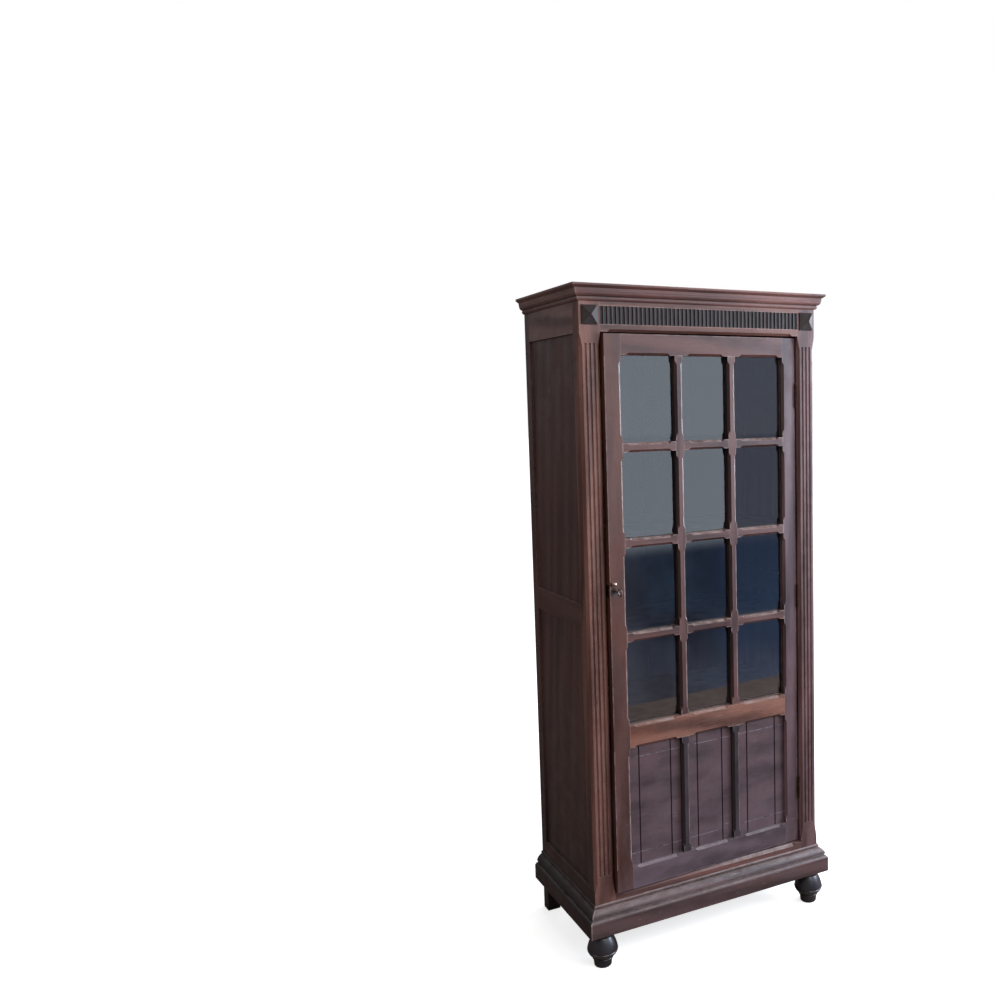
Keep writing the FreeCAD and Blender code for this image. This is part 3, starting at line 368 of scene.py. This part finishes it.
def within(tree, value, low, high):
    """1 where a value lies between low and high, else 0."""
    above = sums(tree, "GREATER_THAN", value, low)
    return times(tree, above, sums(tree, "LESS_THAN", value, high))


def slanting(tree, ways):
    """How far a surface faces one of the given ways, from its own normal."""
    normal = add(tree, "TexCoord").outputs["Normal"]
    found = 0.0
    for way in ways:
        facing = stretch(tree, leaning(tree, normal, way), *FACING_RANGE)
        found = sums(tree, "MAXIMUM", found, facing)
    return found


print("ways named:", len(LIT_ARRISES), "towards the light,", len(SHADED_FACES), "away from it")

# %% The chalk highlight, left shade and low shade effects
CHALK_HIGHLIGHT_PULL, CHALK_HIGHLIGHT_SCALE, CHALK_HIGHLIGHT_RANGE = (0.45, 1, 1), 70.0, (0.36, 0.64, 0.1, 1.0)
# Painted shade low down grows from the first height to the second.
LOW_SHADE_TOP, LOW_SHADE_FOOT = 0.8, 0.12

# Pale on arrises that face the light: partly wear, partly painted highlight.
chalk_highlight, at, out = effect(
    "chalk_highlight", [("Vector", "Vector", None), ("Amount", "Float", 0.9)], [("Pale", "Float")])
broken = noise(
    chalk_highlight, scaled(chalk_highlight, at["Vector"], CHALK_HIGHLIGHT_PULL), CHALK_HIGHLIGHT_SCALE, detail=5.0, roughness=0.7)
feed(chalk_highlight, out["Pale"], times(
    chalk_highlight, slanting(chalk_highlight, LIT_ARRISES), stretch(chalk_highlight, broken, *CHALK_HIGHLIGHT_RANGE), at["Amount"]))

# Faces turned away from the light are painted dark: painted shade.
left_shade, at, out = effect("left_shade", [("Amount", "Float", 0.7)], [("Film", "Float")])
feed(left_shade, out["Film"], times(left_shade, slanting(left_shade, SHADED_FACES), at["Amount"]))

# Darker towards the bottom: painted shade.
low_shade, at, out = effect(
    "low_shade", [("Place", "Vector", None), ("Amount", "Float", 0.6)], [("Low shade", "Float")])
height = add(low_shade, "SeparateXYZ", {"Vector": at["Place"]}).outputs["Z"]
feed(low_shade, out["Low shade"], times(low_shade, stretch(low_shade, height, LOW_SHADE_TOP, LOW_SHADE_FOOT), at["Amount"]))
print("effects:", chalk_highlight.name, left_shade.name, low_shade.name)

# %% Scribed lines
SCRIBE_COLOUR = paint(136, 128, 140)
SCRIBE_HALF, SCRIBE_SCALE, SCRIBE_RANGE = 0.0012, 60.0, (0.35, 0.6)


def scribed(tree, colour, place, height, level):
    """A broken pale scratch across the piece at one height."""
    scratch = within(tree, height, level - SCRIBE_HALF, level + SCRIBE_HALF)
    uneven = stretch(tree, noise(tree, place, SCRIBE_SCALE, detail=3.0), *SCRIBE_RANGE)
    return blend_colours(tree, times(tree, scratch, uneven), colour, SCRIBE_COLOUR)


print("a scribed line is", round(2000 * SCRIBE_HALF, 1), "mm wide")

# %% [markdown]
# ## Stained wood
#
# Every wooden piece uses one recipe with its own direction of grain and its own four tones:
# grain between a dark and a light brown, cloudy patches of redder stain, and paler wood where
# the edges are rubbed. The pores, the bloom, the dark in the hollows, the marks above and the dust
# are laid over it one after another. The dark in the hollows is partly painted shade, the pale
# arrises are partly painted highlight, and the dark left faces and the darkening low down are
# painted shade. The wax polish is a thin coat over the wood, and dust takes its shine away. A
# seed moves the pattern on from one wood to the next.

# %% The recipe for stained wood
QUARTER_TURN = math.pi / 2
TURNS = {"x": (0, 0, 0), "y": (0, 0, QUARTER_TURN), "z": (0, QUARTER_TURN, 0)}
AXES = {"x": (1, 0, 0), "y": (0, 1, 0), "z": (0, 0, 1)}
TONE_RANGE = (0.2, 0.8)
CLOUD_STRENGTH, PORE_STRENGTH = 0.55, 0.5
# Dark for grime in the pores and for the painted shade in hollows.
GRIME_AND_SHADE_COLOUR = paint(24, 15, 13)
BLOOM_COLOUR = paint(124, 114, 128)
SCUFF_COLOUR = paint(176, 160, 158)
# Pale for arrises that face the light: partly wear, partly painted highlight.
CHALK_HIGHLIGHT_COLOUR = paint(162, 143, 139)
# Colour of the painted shade on faces turned away from the light.
LEFT_SHADE_COLOUR = paint(30, 27, 34)
# Colour of the painted shade low down.
LOW_SHADE_COLOUR = paint(20, 20, 23)
DUST_COLOUR = paint(150, 138, 132)
POLISH_SCALE, POLISH_RANGE = 22.0, (0.3, 0.7)
SMOOTHER, ROUGHER, DUSTY_ROUGHER = 0.08, 0.12, 0.4
COAT_ROUGHNESS = 0.3
GRAIN_STRENGTH, GRAIN_DEPTH = 0.25, 0.0004


def wood(name, along, dark, light, cloud, worn, seed=0.0, rubbed=0.6, bloom=0.1, scuffed=0.4,
         dusty=0.3, grime_and_shade=0.75, corner=CORNER_REACH, pull=CLOUD_PULL, rough=0.45, coat=0.12,
         joints=(), chalk_highlighted=0.0, fade=None, left_shaded=0.0, low_shaded=0.0, low_shade_on=(), scribes=()):
    """Stained wood with grain along one axis, unrubbed at the heights of its joints."""
    material, tree, shader = new_material(name)
    place = add(tree, "TexCoord").outputs["Object"]
    across, _, height = add(tree, "SeparateXYZ", {"Vector": place}).outputs
    turned = add(tree, "Mapping", {
        "Vector": place, "Rotation": TURNS[along], "Location": (seed, seed, seed),
    }).outputs[0]
    lines = use(tree, grain, {"Vector": turned})
    marks = use(tree, scuffs, {"Vector": turned, "Place": place, "Cloud pull": pull})
    worn_and_shaded = use(tree, wear_and_shade, {
        "Vector": place, "Along": AXES[along], "Amount": rubbed, "Corner reach": corner,
    })
    bare = worn_and_shaded["Rubbed"]
    for low, high in joints:
        bare = times(tree, bare, sums(tree, "SUBTRACT", 1.0, within(tree, height, low, high)))

    colour = blend_colours(tree, stretch(tree, lines["Tone"], *TONE_RANGE), dark, light)
    colour = lay(tree, colour, marks["Clouds"], CLOUD_STRENGTH, cloud)
    colour = lay(tree, colour, lines["Pores"], PORE_STRENGTH, GRIME_AND_SHADE_COLOUR)
    colour = lay(tree, colour, marks["Bloom"], bloom, BLOOM_COLOUR)
    colour = lay(tree, colour, marks["Scuffs"], scuffed, SCUFF_COLOUR)
    colour = blend_colours(tree, bare, colour, worn)
    # Arrises that face the light are painted pale, partly as wear and partly as painted highlight.
    if chalk_highlighted:
        pale = use(tree, chalk_highlight, {"Vector": turned, "Amount": chalk_highlighted})["Pale"]
        # A fade across the piece holds the pale back on one side: painted shadow.
        if fade:
            pale = times(tree, pale, stretch(tree, across, *fade))
        colour = blend_colours(tree, pale, colour, CHALK_HIGHLIGHT_COLOUR)
    # Faces turned away from the light are painted dark: painted shade.
    if left_shaded:
        film = use(tree, left_shade, {"Amount": left_shaded})["Film"]
        colour = blend_colours(tree, film, colour, LEFT_SHADE_COLOUR)
    # Hollows are darkened, partly as grime and partly as painted shade.
    colour = lay(tree, colour, worn_and_shaded["Grime and shade"], grime_and_shade, GRIME_AND_SHADE_COLOUR)
    # Darker towards the bottom, on some pieces only on faces turned from the light: painted shade.
    if low_shaded:
        black = use(tree, low_shade, {"Place": place, "Amount": low_shaded})["Low shade"]
        if low_shade_on:
            black = times(tree, black, slanting(tree, low_shade_on))
        colour = blend_colours(tree, black, colour, LOW_SHADE_COLOUR)
    for level in scribes:
        colour = scribed(tree, colour, place, height, level)
    settled = use(tree, dust, {"Vector": place, "Amount": dusty})["Dust"]
    feed(tree, shader.inputs["Base Color"], blend_colours(tree, settled, colour, DUST_COLOUR))

    uneven = stretch(tree, noise(tree, turned, POLISH_SCALE, detail=4.0), *POLISH_RANGE,
                     rough - SMOOTHER, rough + ROUGHER)
    feed(tree, shader.inputs["Roughness"], sums(
        tree, "MULTIPLY_ADD", settled, DUSTY_ROUGHER, uneven))
    settle(shader, {"Coat Weight": coat, "Coat Roughness": COAT_ROUGHNESS})
    bump = add(tree, "Bump", {
        "Height": lines["Height"], "Strength": GRAIN_STRENGTH, "Distance": GRAIN_DEPTH,
    })
    feed(tree, shader.inputs["Normal"], bump.outputs[0])
    return material


print("grain may lie along", ", ".join(TURNS))

# %% Tones of one wood, and how a piece gets its finish


def tones(**browns):
    """The tones of one wood by name, each written as red, green and blue."""
    return {name: paint(*brown) for name, brown in browns.items()}


def dress(material, *names):
    """Gives the material to pieces of the frame, which keep their mesh and place."""
    for name in names:
        nodes[name].data.materials.clear()
        nodes[name].data.materials.append(material)
    print(material.name, "on", len(names))


print("pieces to dress:", len(nodes))

# %% [markdown]
# ## The posts
#
# The two front posts were stained alike but have aged apart, and the right one has turned greyer.
# The left one is pinkish brown on its front and is painted darker low down on the side that faces
# away from the light, as painted shade. Both take their grain upright. Where a rail meets a post
# there is no free edge, so those heights are kept from being rubbed.

# %% Post woods
left_tones = tones(
    dark=(78, 49, 42), light=(143, 101, 89), cloud=(123, 75, 63), worn=(190, 161, 151))
right_tones = tones(
    dark=(66, 45, 44), light=(121, 90, 91), cloud=(104, 68, 66), worn=(176, 152, 150))

RAIL_MEETS_POST = ((0, 0.21), (1.774, 1.9))
fluted_post = dict(seed=0.3, joints=RAIL_MEETS_POST, grime_and_shade=0.35, corner=0.005)
# The left post's left face is painted darker low down, as painted shade.
dress(wood("left_post_wood", "z", **left_tones, **fluted_post, low_shaded=0.8, low_shade_on=(LEFT_FACE,)),
      "front_left_post")
dress(wood("right_post_wood", "z", **right_tones, **fluted_post), "front_right_post")

# %% [markdown]
# ## Rails and mouldings of the front
#
# The rails, the cornice and the plinth lie level, so their grain runs along X. The sill under the
# door has a stopped chamfer that is pale at its right end only: the pale is partly wear and partly
# painted highlight, and its left half is held dark as painted shadow of the door. The plinth,
# which every broom has touched, is the most scuffed of all. The fluted strip of the frieze and
# the corner bosses take tones that are almost black.

# %% Front woods
case_tones = tones(
    dark=(72, 45, 39), light=(132, 92, 81), cloud=(114, 68, 57), worn=(184, 154, 144))
cornice_tones = tones(
    dark=(72, 46, 42), light=(142, 100, 91), cloud=(124, 72, 65), worn=(182, 152, 146))
plinth_tones = tones(
    dark=(56, 41, 40), light=(104, 81, 80), cloud=(92, 62, 58), worn=(188, 168, 164))

# The sill's pale chamfer is held dark on its left half: painted shadow of the door.
SILL_DOOR_SHADOW = (-0.12, 0.12)
dress(wood("rail_wood", "x", **case_tones, seed=1.7), "frieze_rail")
dress(wood("sill_wood", "x", **case_tones, seed=1.7, chalk_highlighted=0.75, fade=SILL_DOOR_SHADOW),
      "front_bottom_rail")
dress(wood("cornice_wood", "x", **cornice_tones, seed=1.7, rubbed=0.3), "front_cornice")
dress(wood("plinth_wood", "x", **plinth_tones, seed=1.3, rubbed=0.65, scuffed=0.9,
           corner=0.0045, grime_and_shade=0.55, chalk_highlighted=0.3), "front_plinth")

# %% Frieze woods
# The frieze strip and the bosses are given near-black tones.
fluted_tones = tones(
    dark=(25, 20, 24), light=(57, 46, 48), cloud=(46, 35, 38), worn=(112, 100, 102))
boss_tones = tones(
    dark=(30, 25, 26), light=(58, 47, 47), cloud=(48, 38, 38), worn=(118, 106, 108))

dress(wood("fluted_wood", "z", **fluted_tones, seed=4.1, rubbed=0.15), "fluted_frieze_strip")
dress(wood("boss_wood", "z", **boss_tones, seed=4.4, rubbed=0.35), "corner_bosses")

# %% [markdown]
# ## The sides and the top
#
# The sides are a much darker brown than the front, and are painted darker still towards the
# floor, as painted shade. Their top rails and cornices stay lighter. Nobody sees the top board,
# which is under thick dust. Rails take grain along Y, panels and posts take it upright.

# %% Side woods
side_tones = tones(
    dark=(76, 56, 54), light=(103, 78, 75), cloud=(107, 73, 66), worn=(140, 115, 108))
upper_tones = tones(
    dark=(94, 71, 68), light=(146, 117, 112), cloud=(132, 96, 88), worn=(166, 139, 132))

SIDES = ("left", "right")
dress(wood("top_wood", "x", **side_tones, seed=2.9, dusty=0.8), "top_board")
dress(wood("side_cornice_wood", "y", **upper_tones, seed=5.3, bloom=0.0),
      *[f"{side}_cornice" for side in SIDES])
# From here on, the low side pieces are painted darker towards the floor, as painted shade.
dress(wood("side_plinth_wood", "y", **side_tones, seed=5.7, bloom=0.0, low_shaded=0.8),
      *[f"{side}_plinth" for side in SIDES])
dress(wood("side_top_wood", "y", **upper_tones, seed=6.5, bloom=0.0),
      *[f"{side}_side_top_rail" for side in SIDES])
dress(wood("side_rail_wood", "y", **side_tones, seed=6.1, bloom=0.0, low_shaded=0.6),
      *[f"{side}_side_{part}_rail" for side in SIDES for part in ("mid", "bottom")])
dress(wood("side_panel_wood", "z", **side_tones, seed=7.7, bloom=0.0, low_shaded=0.6),
      *[f"{side}_side_{part}_panel" for side in SIDES for part in ("upper", "lower")])
dress(wood("rear_post_wood", "z", **side_tones, seed=8.3, bloom=0.0, low_shaded=0.75),
      "rear_left_post", "rear_right_post", "door_stop")

# %% [markdown]
# ## The turned feet
#
# The front feet are ebonised: a black stain under a glossy polish that shows a cool highlight.

# %% Foot wood
foot_tones = tones(dark=(9, 11, 14), light=(19, 24, 31), cloud=(15, 18, 22), worn=(52, 56, 64))
dress(wood("foot_wood", "z", **foot_tones, seed=9.1, rubbed=0.4, scuffed=0.3, dusty=0.2,
           rough=0.3, coat=0.7), "front_left_foot", "front_right_foot")

# %% [markdown]
# ## The door's frame
#
# The middle rail is the reddest part of the door, because its stain has worn thin. The lock
# stile is brown with a grey bloom low down, the hinge stile and the bottom rail are greyer, and
# the top rail is darker. As on the posts, edges aren't rubbed where a rail meets a stile.

# %% Stile and rail woods
lock_tones = tones(
    dark=(72, 44, 37), light=(95, 60, 51), cloud=(116, 66, 50), worn=(184, 160, 156))
grey_tones = tones(
    dark=(60, 44, 47), light=(112, 88, 93), cloud=(98, 66, 67), worn=(184, 166, 168))
top_tones = tones(
    dark=(54, 32, 28), light=(101, 65, 59), cloud=(104, 58, 48), worn=(176, 152, 148))
warm_tones = tones(
    dark=(80, 48, 38), light=(150, 104, 86), cloud=(136, 79, 59), worn=(190, 166, 158))
panel_tones = tones(
    dark=(64, 51, 55), light=(82, 66, 72), cloud=(106, 71, 67), worn=(150, 140, 150))

RAIL_MEETS_STILE = ((0.2, 0.276), (0.62, 0.688), (1.712, 1.78))
stile = dict(seed=0.9, joints=RAIL_MEETS_STILE)
dress(wood("lock_stile_wood", "z", **lock_tones, **stile, chalk_highlighted=0.9, bloom=0.45),
      "door_left_stile")
dress(wood("hinge_stile_wood", "z", **grey_tones, **stile, bloom=0.2), "door_right_stile")
dress(wood("top_rail_wood", "x", **top_tones, seed=2.3), "door_top_rail")
dress(wood("mid_rail_wood", "x", **warm_tones, seed=3.1, bloom=0.05, chalk_highlighted=0.7), "door_mid_rail")
dress(wood("bottom_rail_wood", "x", **panel_tones, seed=5.9, bloom=0.5, chalk_highlighted=0.4),
      "door_bottom_rail")

# %% [markdown]
# ## Glazing bars and lower panels
#
# The slim bars between the panes show the most wear. Their chamfers are pale on the side of the
# light, partly as wear and partly as painted highlight, and are painted dark on the other side,
# as painted shade. Below the middle rail, two dark muntins part three dull greyish panels, whose
# figure runs across them.

# %% Glazing bar woods
door_tones = tones(
    dark=(56, 35, 33), light=(106, 72, 67), cloud=(104, 60, 52), worn=(184, 160, 156))

BARS_MEET_UPRIGHT = ((0.921, 0.952), (1.185, 1.215), (1.448, 1.479))
dress(wood("upright_wood", "z", **door_tones, seed=1.9, rubbed=0.8, joints=BARS_MEET_UPRIGHT,
           chalk_highlighted=0.9, left_shaded=0.7), "glazing_upright_left", "glazing_upright_right")
dress(wood("cross_bar_wood", "x", **door_tones, seed=2.7, rubbed=0.9, scuffed=0.9, chalk_highlighted=0.9),
      "glazing_cross_bars", "glazing_beads")

# %% Muntin and panel woods
muntin_tones = tones(
    dark=(28, 22, 25), light=(56, 45, 50), cloud=(50, 36, 39), worn=(150, 138, 144))

PANEL_PULL = (0.6, 1.4, 1.4)
PANEL_SCRIBES = (0.307, 0.588)
dress(wood("muntin_wood", "z", **muntin_tones, seed=2.5, rubbed=0.5, bloom=0.15, chalk_highlighted=0.45,
           left_shaded=0.6), "lower_muntin_left", "lower_muntin_right")
dress(wood("panel_wood", "x", **panel_tones, seed=4.7, rubbed=0.1, bloom=0.35, scuffed=0.7,
           pull=PANEL_PULL, scribes=PANEL_SCRIBES),
      "lower_panel_left", "lower_panel_centre", "lower_panel_right")

# %% [markdown]
# ## Inside
#
# The inside was never polished. It is a plain dark wood, dull and dusty, and is hardly seen
# through the glass until the door opens.

# %% Inside woods
inside_tones = tones(dark=(25, 18, 15), light=(44, 32, 26), cloud=(38, 26, 20), worn=(84, 64, 52))
plain = dict(rubbed=0.4, bloom=0.15, scuffed=0.2, rough=0.62, coat=0.0)
dress(wood("board_wood", "z", **inside_tones, **plain, seed=1.1), "back_boards")
dress(wood("shelf_wood", "x", **inside_tones, **plain, seed=2.1, dusty=0.15),
      "shelves", "floor_board", "back_top_rail", "back_bottom_rail")
dress(wood("cleat_wood", "y", **inside_tones, **plain, seed=3.9), "shelf_cleats")

# %% [markdown]
# ## Glass
#
# Twelve panes of old drawn glass, clear and faintly green. Most of what the eye sees in them is
# mirrored, so the shader stays a plain smooth glass with a clear coat that mirrors a little more.
# A slow ripple bends what it mirrors, as in glass that was drawn by hand.

# %% Glass panes
RIPPLE_SCALE, RIPPLE_STRENGTH, RIPPLE_DEPTH = 4.0, 0.05, 0.002

glass, tree, shader = new_material("old_glass")
settle(shader, {
    "Base Color": paint(236, 244, 242), "Transmission Weight": 1, "IOR": 1.5, "Roughness": 0,
    "Coat Weight": 1, "Coat Roughness": 0, "Coat IOR": 1.7,
})
place = add(tree, "TexCoord").outputs["Object"]
ripple = add(tree, "Bump", {
    "Height": noise(tree, place, RIPPLE_SCALE, detail=0.0), "Strength": RIPPLE_STRENGTH,
    "Distance": RIPPLE_DEPTH,
})
feed(tree, shader.inputs["Normal"], ripple.outputs[0])
dress(glass, "glass_panes")

# %% [markdown]
# ## Iron and brass
#
# The lock, its plate and the strike are dark iron, the key is the same iron rubbed bright in
# use, and the hinges, screws, bolt and pull are old brass. Tarnish is one effect for all: a
# patchy film that darkens the metal and takes its shine, and is gone from the edges.

# %% The tarnish effect
FILM_SCALE, FILM_RANGE, EVEN_COVER = 140.0, (0.35, 0.65), 0.5

tarnish, at, out = effect(
    "tarnish", [("Vector", "Vector", None), ("Cover", "Float", EVEN_COVER)], [("Film", "Float")])
blotches = noise(tarnish, at["Vector"], FILM_SCALE, detail=5.0, roughness=0.7)
extra = sums(tarnish, "SUBTRACT", at["Cover"], EVEN_COVER)
feed(tarnish, out["Film"], stretch(
    tarnish, sums(tarnish, "ADD", blotches, extra), *FILM_RANGE))
print("effect:", tarnish.name)

# %% Metals
METAL_EDGE_REACH, METAL_RUBBED = 0.0015, 0.9
FILM_STRENGTH, FILM_DEPTH = 0.2, 0.0002


def metal(name, bare, film, cover, bright, dull):
    """Metal under a film of tarnish, with its roughness where it is bright and where dull."""
    material, tree, shader = new_material(name)
    place = add(tree, "TexCoord").outputs["Object"]
    covered = use(tree, tarnish, {"Vector": place, "Cover": cover})["Film"]
    edge = use(tree, wear_and_shade, {
        "Vector": place, "Edge reach": METAL_EDGE_REACH, "Amount": METAL_RUBBED,
    })["Rubbed"]
    covered = sums(tree, "SUBTRACT", covered, edge)
    feed(tree, shader.inputs["Base Color"], blend_colours(tree, covered, bare, film))
    feed(tree, shader.inputs["Roughness"], stretch(tree, covered, 0.0, 1.0, bright, dull))
    settle(shader, {"Metallic": 1})
    bump = add(tree, "Bump", {
        "Height": covered, "Strength": FILM_STRENGTH, "Distance": FILM_DEPTH,
    })
    feed(tree, shader.inputs["Normal"], bump.outputs[0])
    return material


dress(metal("dark_iron", bare=paint(110, 106, 104), film=paint(40, 34, 32), cover=0.75,
            bright=0.35, dull=0.6), "lock_case", "keyhole_plate", "strike_plate")
dress(metal("key_iron", bare=paint(190, 186, 184), film=paint(92, 84, 80), cover=0.4,
            bright=0.25, dull=0.5), "key")
dress(metal("old_brass", bare=paint(128, 96, 62), film=paint(58, 42, 32), cover=0.7,
            bright=0.4, dull=0.65),
      "case_hinge_leaves", "case_hinge_screws", "door_hinge_leaves", "door_hinge_screws",
      "hinge_pins", "lock_bolt")
dress(metal("rubbed_brass", bare=paint(214, 194, 180), film=paint(150, 128, 114), cover=0.4,
            bright=0.35, dull=0.55), "door_pull")

# %% [markdown]
# ## The floor and the surround
#
# The cabinet stands on a pale floor in a white surround. The camera sees both almost white, but
# light and reflections meet a duller brown floor and a dim surround, because a white one would
# fill the shadows under the plinth and grey the wood. Light Path tells the two apart.

# %% Floor
FLOOR_RADIUS, FLOOR_SIDES = 60, 96
FLOOR_NEAR, FLOOR_FAR = 0.4, 2.6
GLOW_NEAR, GLOW_FAR = 0.72, 1.1
MIRRORED_FLOOR = paint(134, 116, 108)


def seen_or_mirrored(tree, seen, mirrored):
    """One shader for what the camera itself sees, another for light and reflections."""
    either = add(tree, "MixShader")
    feed(tree, either.inputs[0], add(tree, "LightPath").outputs["Is Camera Ray"])
    feed(tree, either.inputs[1], mirrored)
    feed(tree, either.inputs[2], seen)
    return either.outputs[0]


bm = bmesh.new()
bmesh.ops.create_circle(bm, cap_ends=True, segments=FLOOR_SIDES, radius=FLOOR_RADIUS)
floor_mesh = bpy.data.meshes.new("floor")
bm.to_mesh(floor_mesh)
bm.free()
floor = bpy.data.objects.new("floor", floor_mesh)
bpy.context.scene.collection.objects.link(floor)

pale, tree, shader = new_material("pale_floor")
settle(shader, {
    "Base Color": paint(244, 243, 242), "Roughness": 0.9, "Specular IOR Level": 0.1,
    "Emission Color": (1, 1, 1, 1),
})
place = add(tree, "TexCoord").outputs["Object"]
away = add(tree, "VectorMath", {"Vector": place}, operation="LENGTH").outputs["Value"]
feed(tree, shader.inputs["Emission Strength"], stretch(
    tree, away, FLOOR_NEAR, FLOOR_FAR, GLOW_NEAR, GLOW_FAR))
mirrored = add(tree, "BsdfDiffuse", {"Color": MIRRORED_FLOOR}).outputs[0]
feed(tree, tree.nodes["Material Output"].inputs["Surface"], seen_or_mirrored(
    tree, shader.outputs[0], mirrored))
floor_mesh.materials.append(pale)
print("floor of radius", FLOOR_RADIUS, "m")

# %% Surround
DIM_LIGHT, DIM_STRENGTH = (0.9, 0.94, 1, 1), 0.2

scene = bpy.context.scene
scene.view_settings.view_transform = "Standard"
scene.world = bpy.data.worlds.new("surround")
scene.world.use_nodes = True
tree = scene.world.node_tree
seen = add(tree, "Background", {"Color": (1, 1, 1, 1), "Strength": 1.0}).outputs[0]
lit = add(tree, "Background", {"Color": DIM_LIGHT, "Strength": DIM_STRENGTH}).outputs[0]
feed(tree, tree.nodes["World Output"].inputs["Surface"], seen_or_mirrored(tree, seen, lit))
print("surround:", scene.world.name)

# %% [markdown]
# ## A card for the glass to mirror
#
# The panes mirror what stands in front of them, so a large toned card stands there, pale above
# and dark blue below. Only reflections see it: it throws no shadow and hides nothing.

# %% Card
CARD_FRONT = -2.27
CARD_LOW, CARD_HIGH = Vector((0.2, CARD_FRONT, 0)), Vector((4.4, CARD_FRONT, 2.6))
KEEP_DEPTH = Vector((0, 1, 0))

bm = bmesh.new()
bmesh.ops.create_grid(bm, x_segments=1, y_segments=1, size=0.5)
bmesh.ops.rotate(
    bm, verts=bm.verts, cent=(0, 0, 0), matrix=Matrix.Rotation(-QUARTER_TURN, 3, "X"))
bmesh.ops.scale(bm, verts=bm.verts, vec=CARD_HIGH - CARD_LOW + KEEP_DEPTH)
bmesh.ops.translate(bm, verts=bm.verts, vec=(CARD_LOW + CARD_HIGH) / 2)
card_mesh = bpy.data.meshes.new("toned_card")
bm.to_mesh(card_mesh)
bm.free()
card = bpy.data.objects.new("toned_card", card_mesh)
bpy.context.scene.collection.objects.link(card)
card.visible_camera = card.visible_diffuse = False
card.visible_shadow = card.visible_transmission = False
print("card", tuple(round(side, 2) for side in card.dimensions), "m")

# %% Tones of the card
PALE_ENDS, BRIGHT_STARTS, DUSK_STARTS = (1.58, 1.66), (1.3, 1.75), (1.15, 0.85)
MOST_BRIGHT, MOST_DUSK = 0.7, 0.7
BLUE_SCALE, BLUE_RANGE = 2.2, (0.4, 0.65)
PALE_FROM = (0.78, 0.9)
CARD_PALE, CARD_GREY = paint(208, 220, 236), paint(120, 127, 147)
CARD_NIGHT, CARD_BLUE = paint(42, 54, 80), paint(72, 94, 126)
CARD_BRIGHT, CARD_DUSK = paint(78, 106, 148), paint(102, 106, 124)
CARD_GLOW = 1.9

toned, tree, _ = new_material("toned_card")
place = add(tree, "TexCoord").outputs["Object"]
across, _, height = add(tree, "SeparateXYZ", {"Vector": place}).outputs
above = blend_colours(tree, stretch(tree, across, *PALE_ENDS), CARD_PALE, CARD_GREY)
soft = stretch(tree, noise(tree, place, BLUE_SCALE, detail=3.0), *BLUE_RANGE)
below = blend_colours(tree, soft, CARD_NIGHT, CARD_BLUE)
brighter = stretch(tree, across, *BRIGHT_STARTS, 0.0, MOST_BRIGHT)
below = blend_colours(tree, brighter, below, CARD_BRIGHT)
duskier = stretch(tree, across, *DUSK_STARTS, 0.0, MOST_DUSK)
below = blend_colours(tree, duskier, below, CARD_DUSK)
shown = blend_colours(tree, stretch(tree, height, *PALE_FROM), below, above)
glow = add(tree, "Emission", {"Color": shown, "Strength": CARD_GLOW}).outputs[0]
feed(tree, tree.nodes["Material Output"].inputs["Surface"], glow)
card_mesh.materials.append(toned)
print("material:", toned.name)

# %% [markdown]
# ## Light
#
# The main light is soft and cool and comes from the right, as from a tall window. A second broad
# lamp at the right side lights what turns away from the first, a warm softbox high in front
# fills the shadows, and two weak fills keep the left side and the back from going black. Each
# is a flat lamp that the camera doesn't see itself.

# %% Lamps
COOL, PALE_COOL = (0.76, 0.85, 1.0), (0.86, 0.92, 1.0)
WARM, PALE_WARM, ROSY = (1.0, 0.9, 0.84), (1.0, 0.96, 0.92), (1.0, 0.93, 0.9)


def soft_lamp(name, place, aim, size, power, colour):
    """A flat lamp of a width and height in metres, turned to its aim, with its power in watts."""
    lamp = bpy.data.lights.new(name, "AREA")
    lamp.shape, lamp.size, lamp.size_y = "RECTANGLE", *size
    lamp.energy, lamp.color = power, colour
    light = bpy.data.objects.new(name, lamp)
    light.location = place
    light.visible_camera = False
    light.rotation_euler = (Vector(aim) - Vector(place)).to_track_quat("-Z", "Y").to_euler()
    bpy.context.scene.collection.objects.link(light)
    print("lamp:", name, power, "W")


soft_lamp("window", place=(2.85, -1.85, 1.8), aim=(0.1, 0, 1.0),
          size=(1.4, 1.9), power=116, colour=COOL)
soft_lamp("side_window", place=(2.6, 0.35, 1.5), aim=(0, -0.1, 1.1),
          size=(2.0, 2.2), power=60, colour=PALE_COOL)
soft_lamp("left_fill", place=(-3.2, -0.4, 3.0), aim=(-0.4, 0, 1.5),
          size=(1.4, 1.4), power=12, colour=WARM)
soft_lamp("rear_fill", place=(1.3, 3.0, 1.9), aim=(0, 0.2, 0.9),
          size=(1.4, 1.6), power=14, colour=PALE_WARM)
soft_lamp("front_softbox", place=(0.2, -3.2, 3.1), aim=(0, 0, 1.5),
          size=(2.2, 1.6), power=58, colour=ROSY)
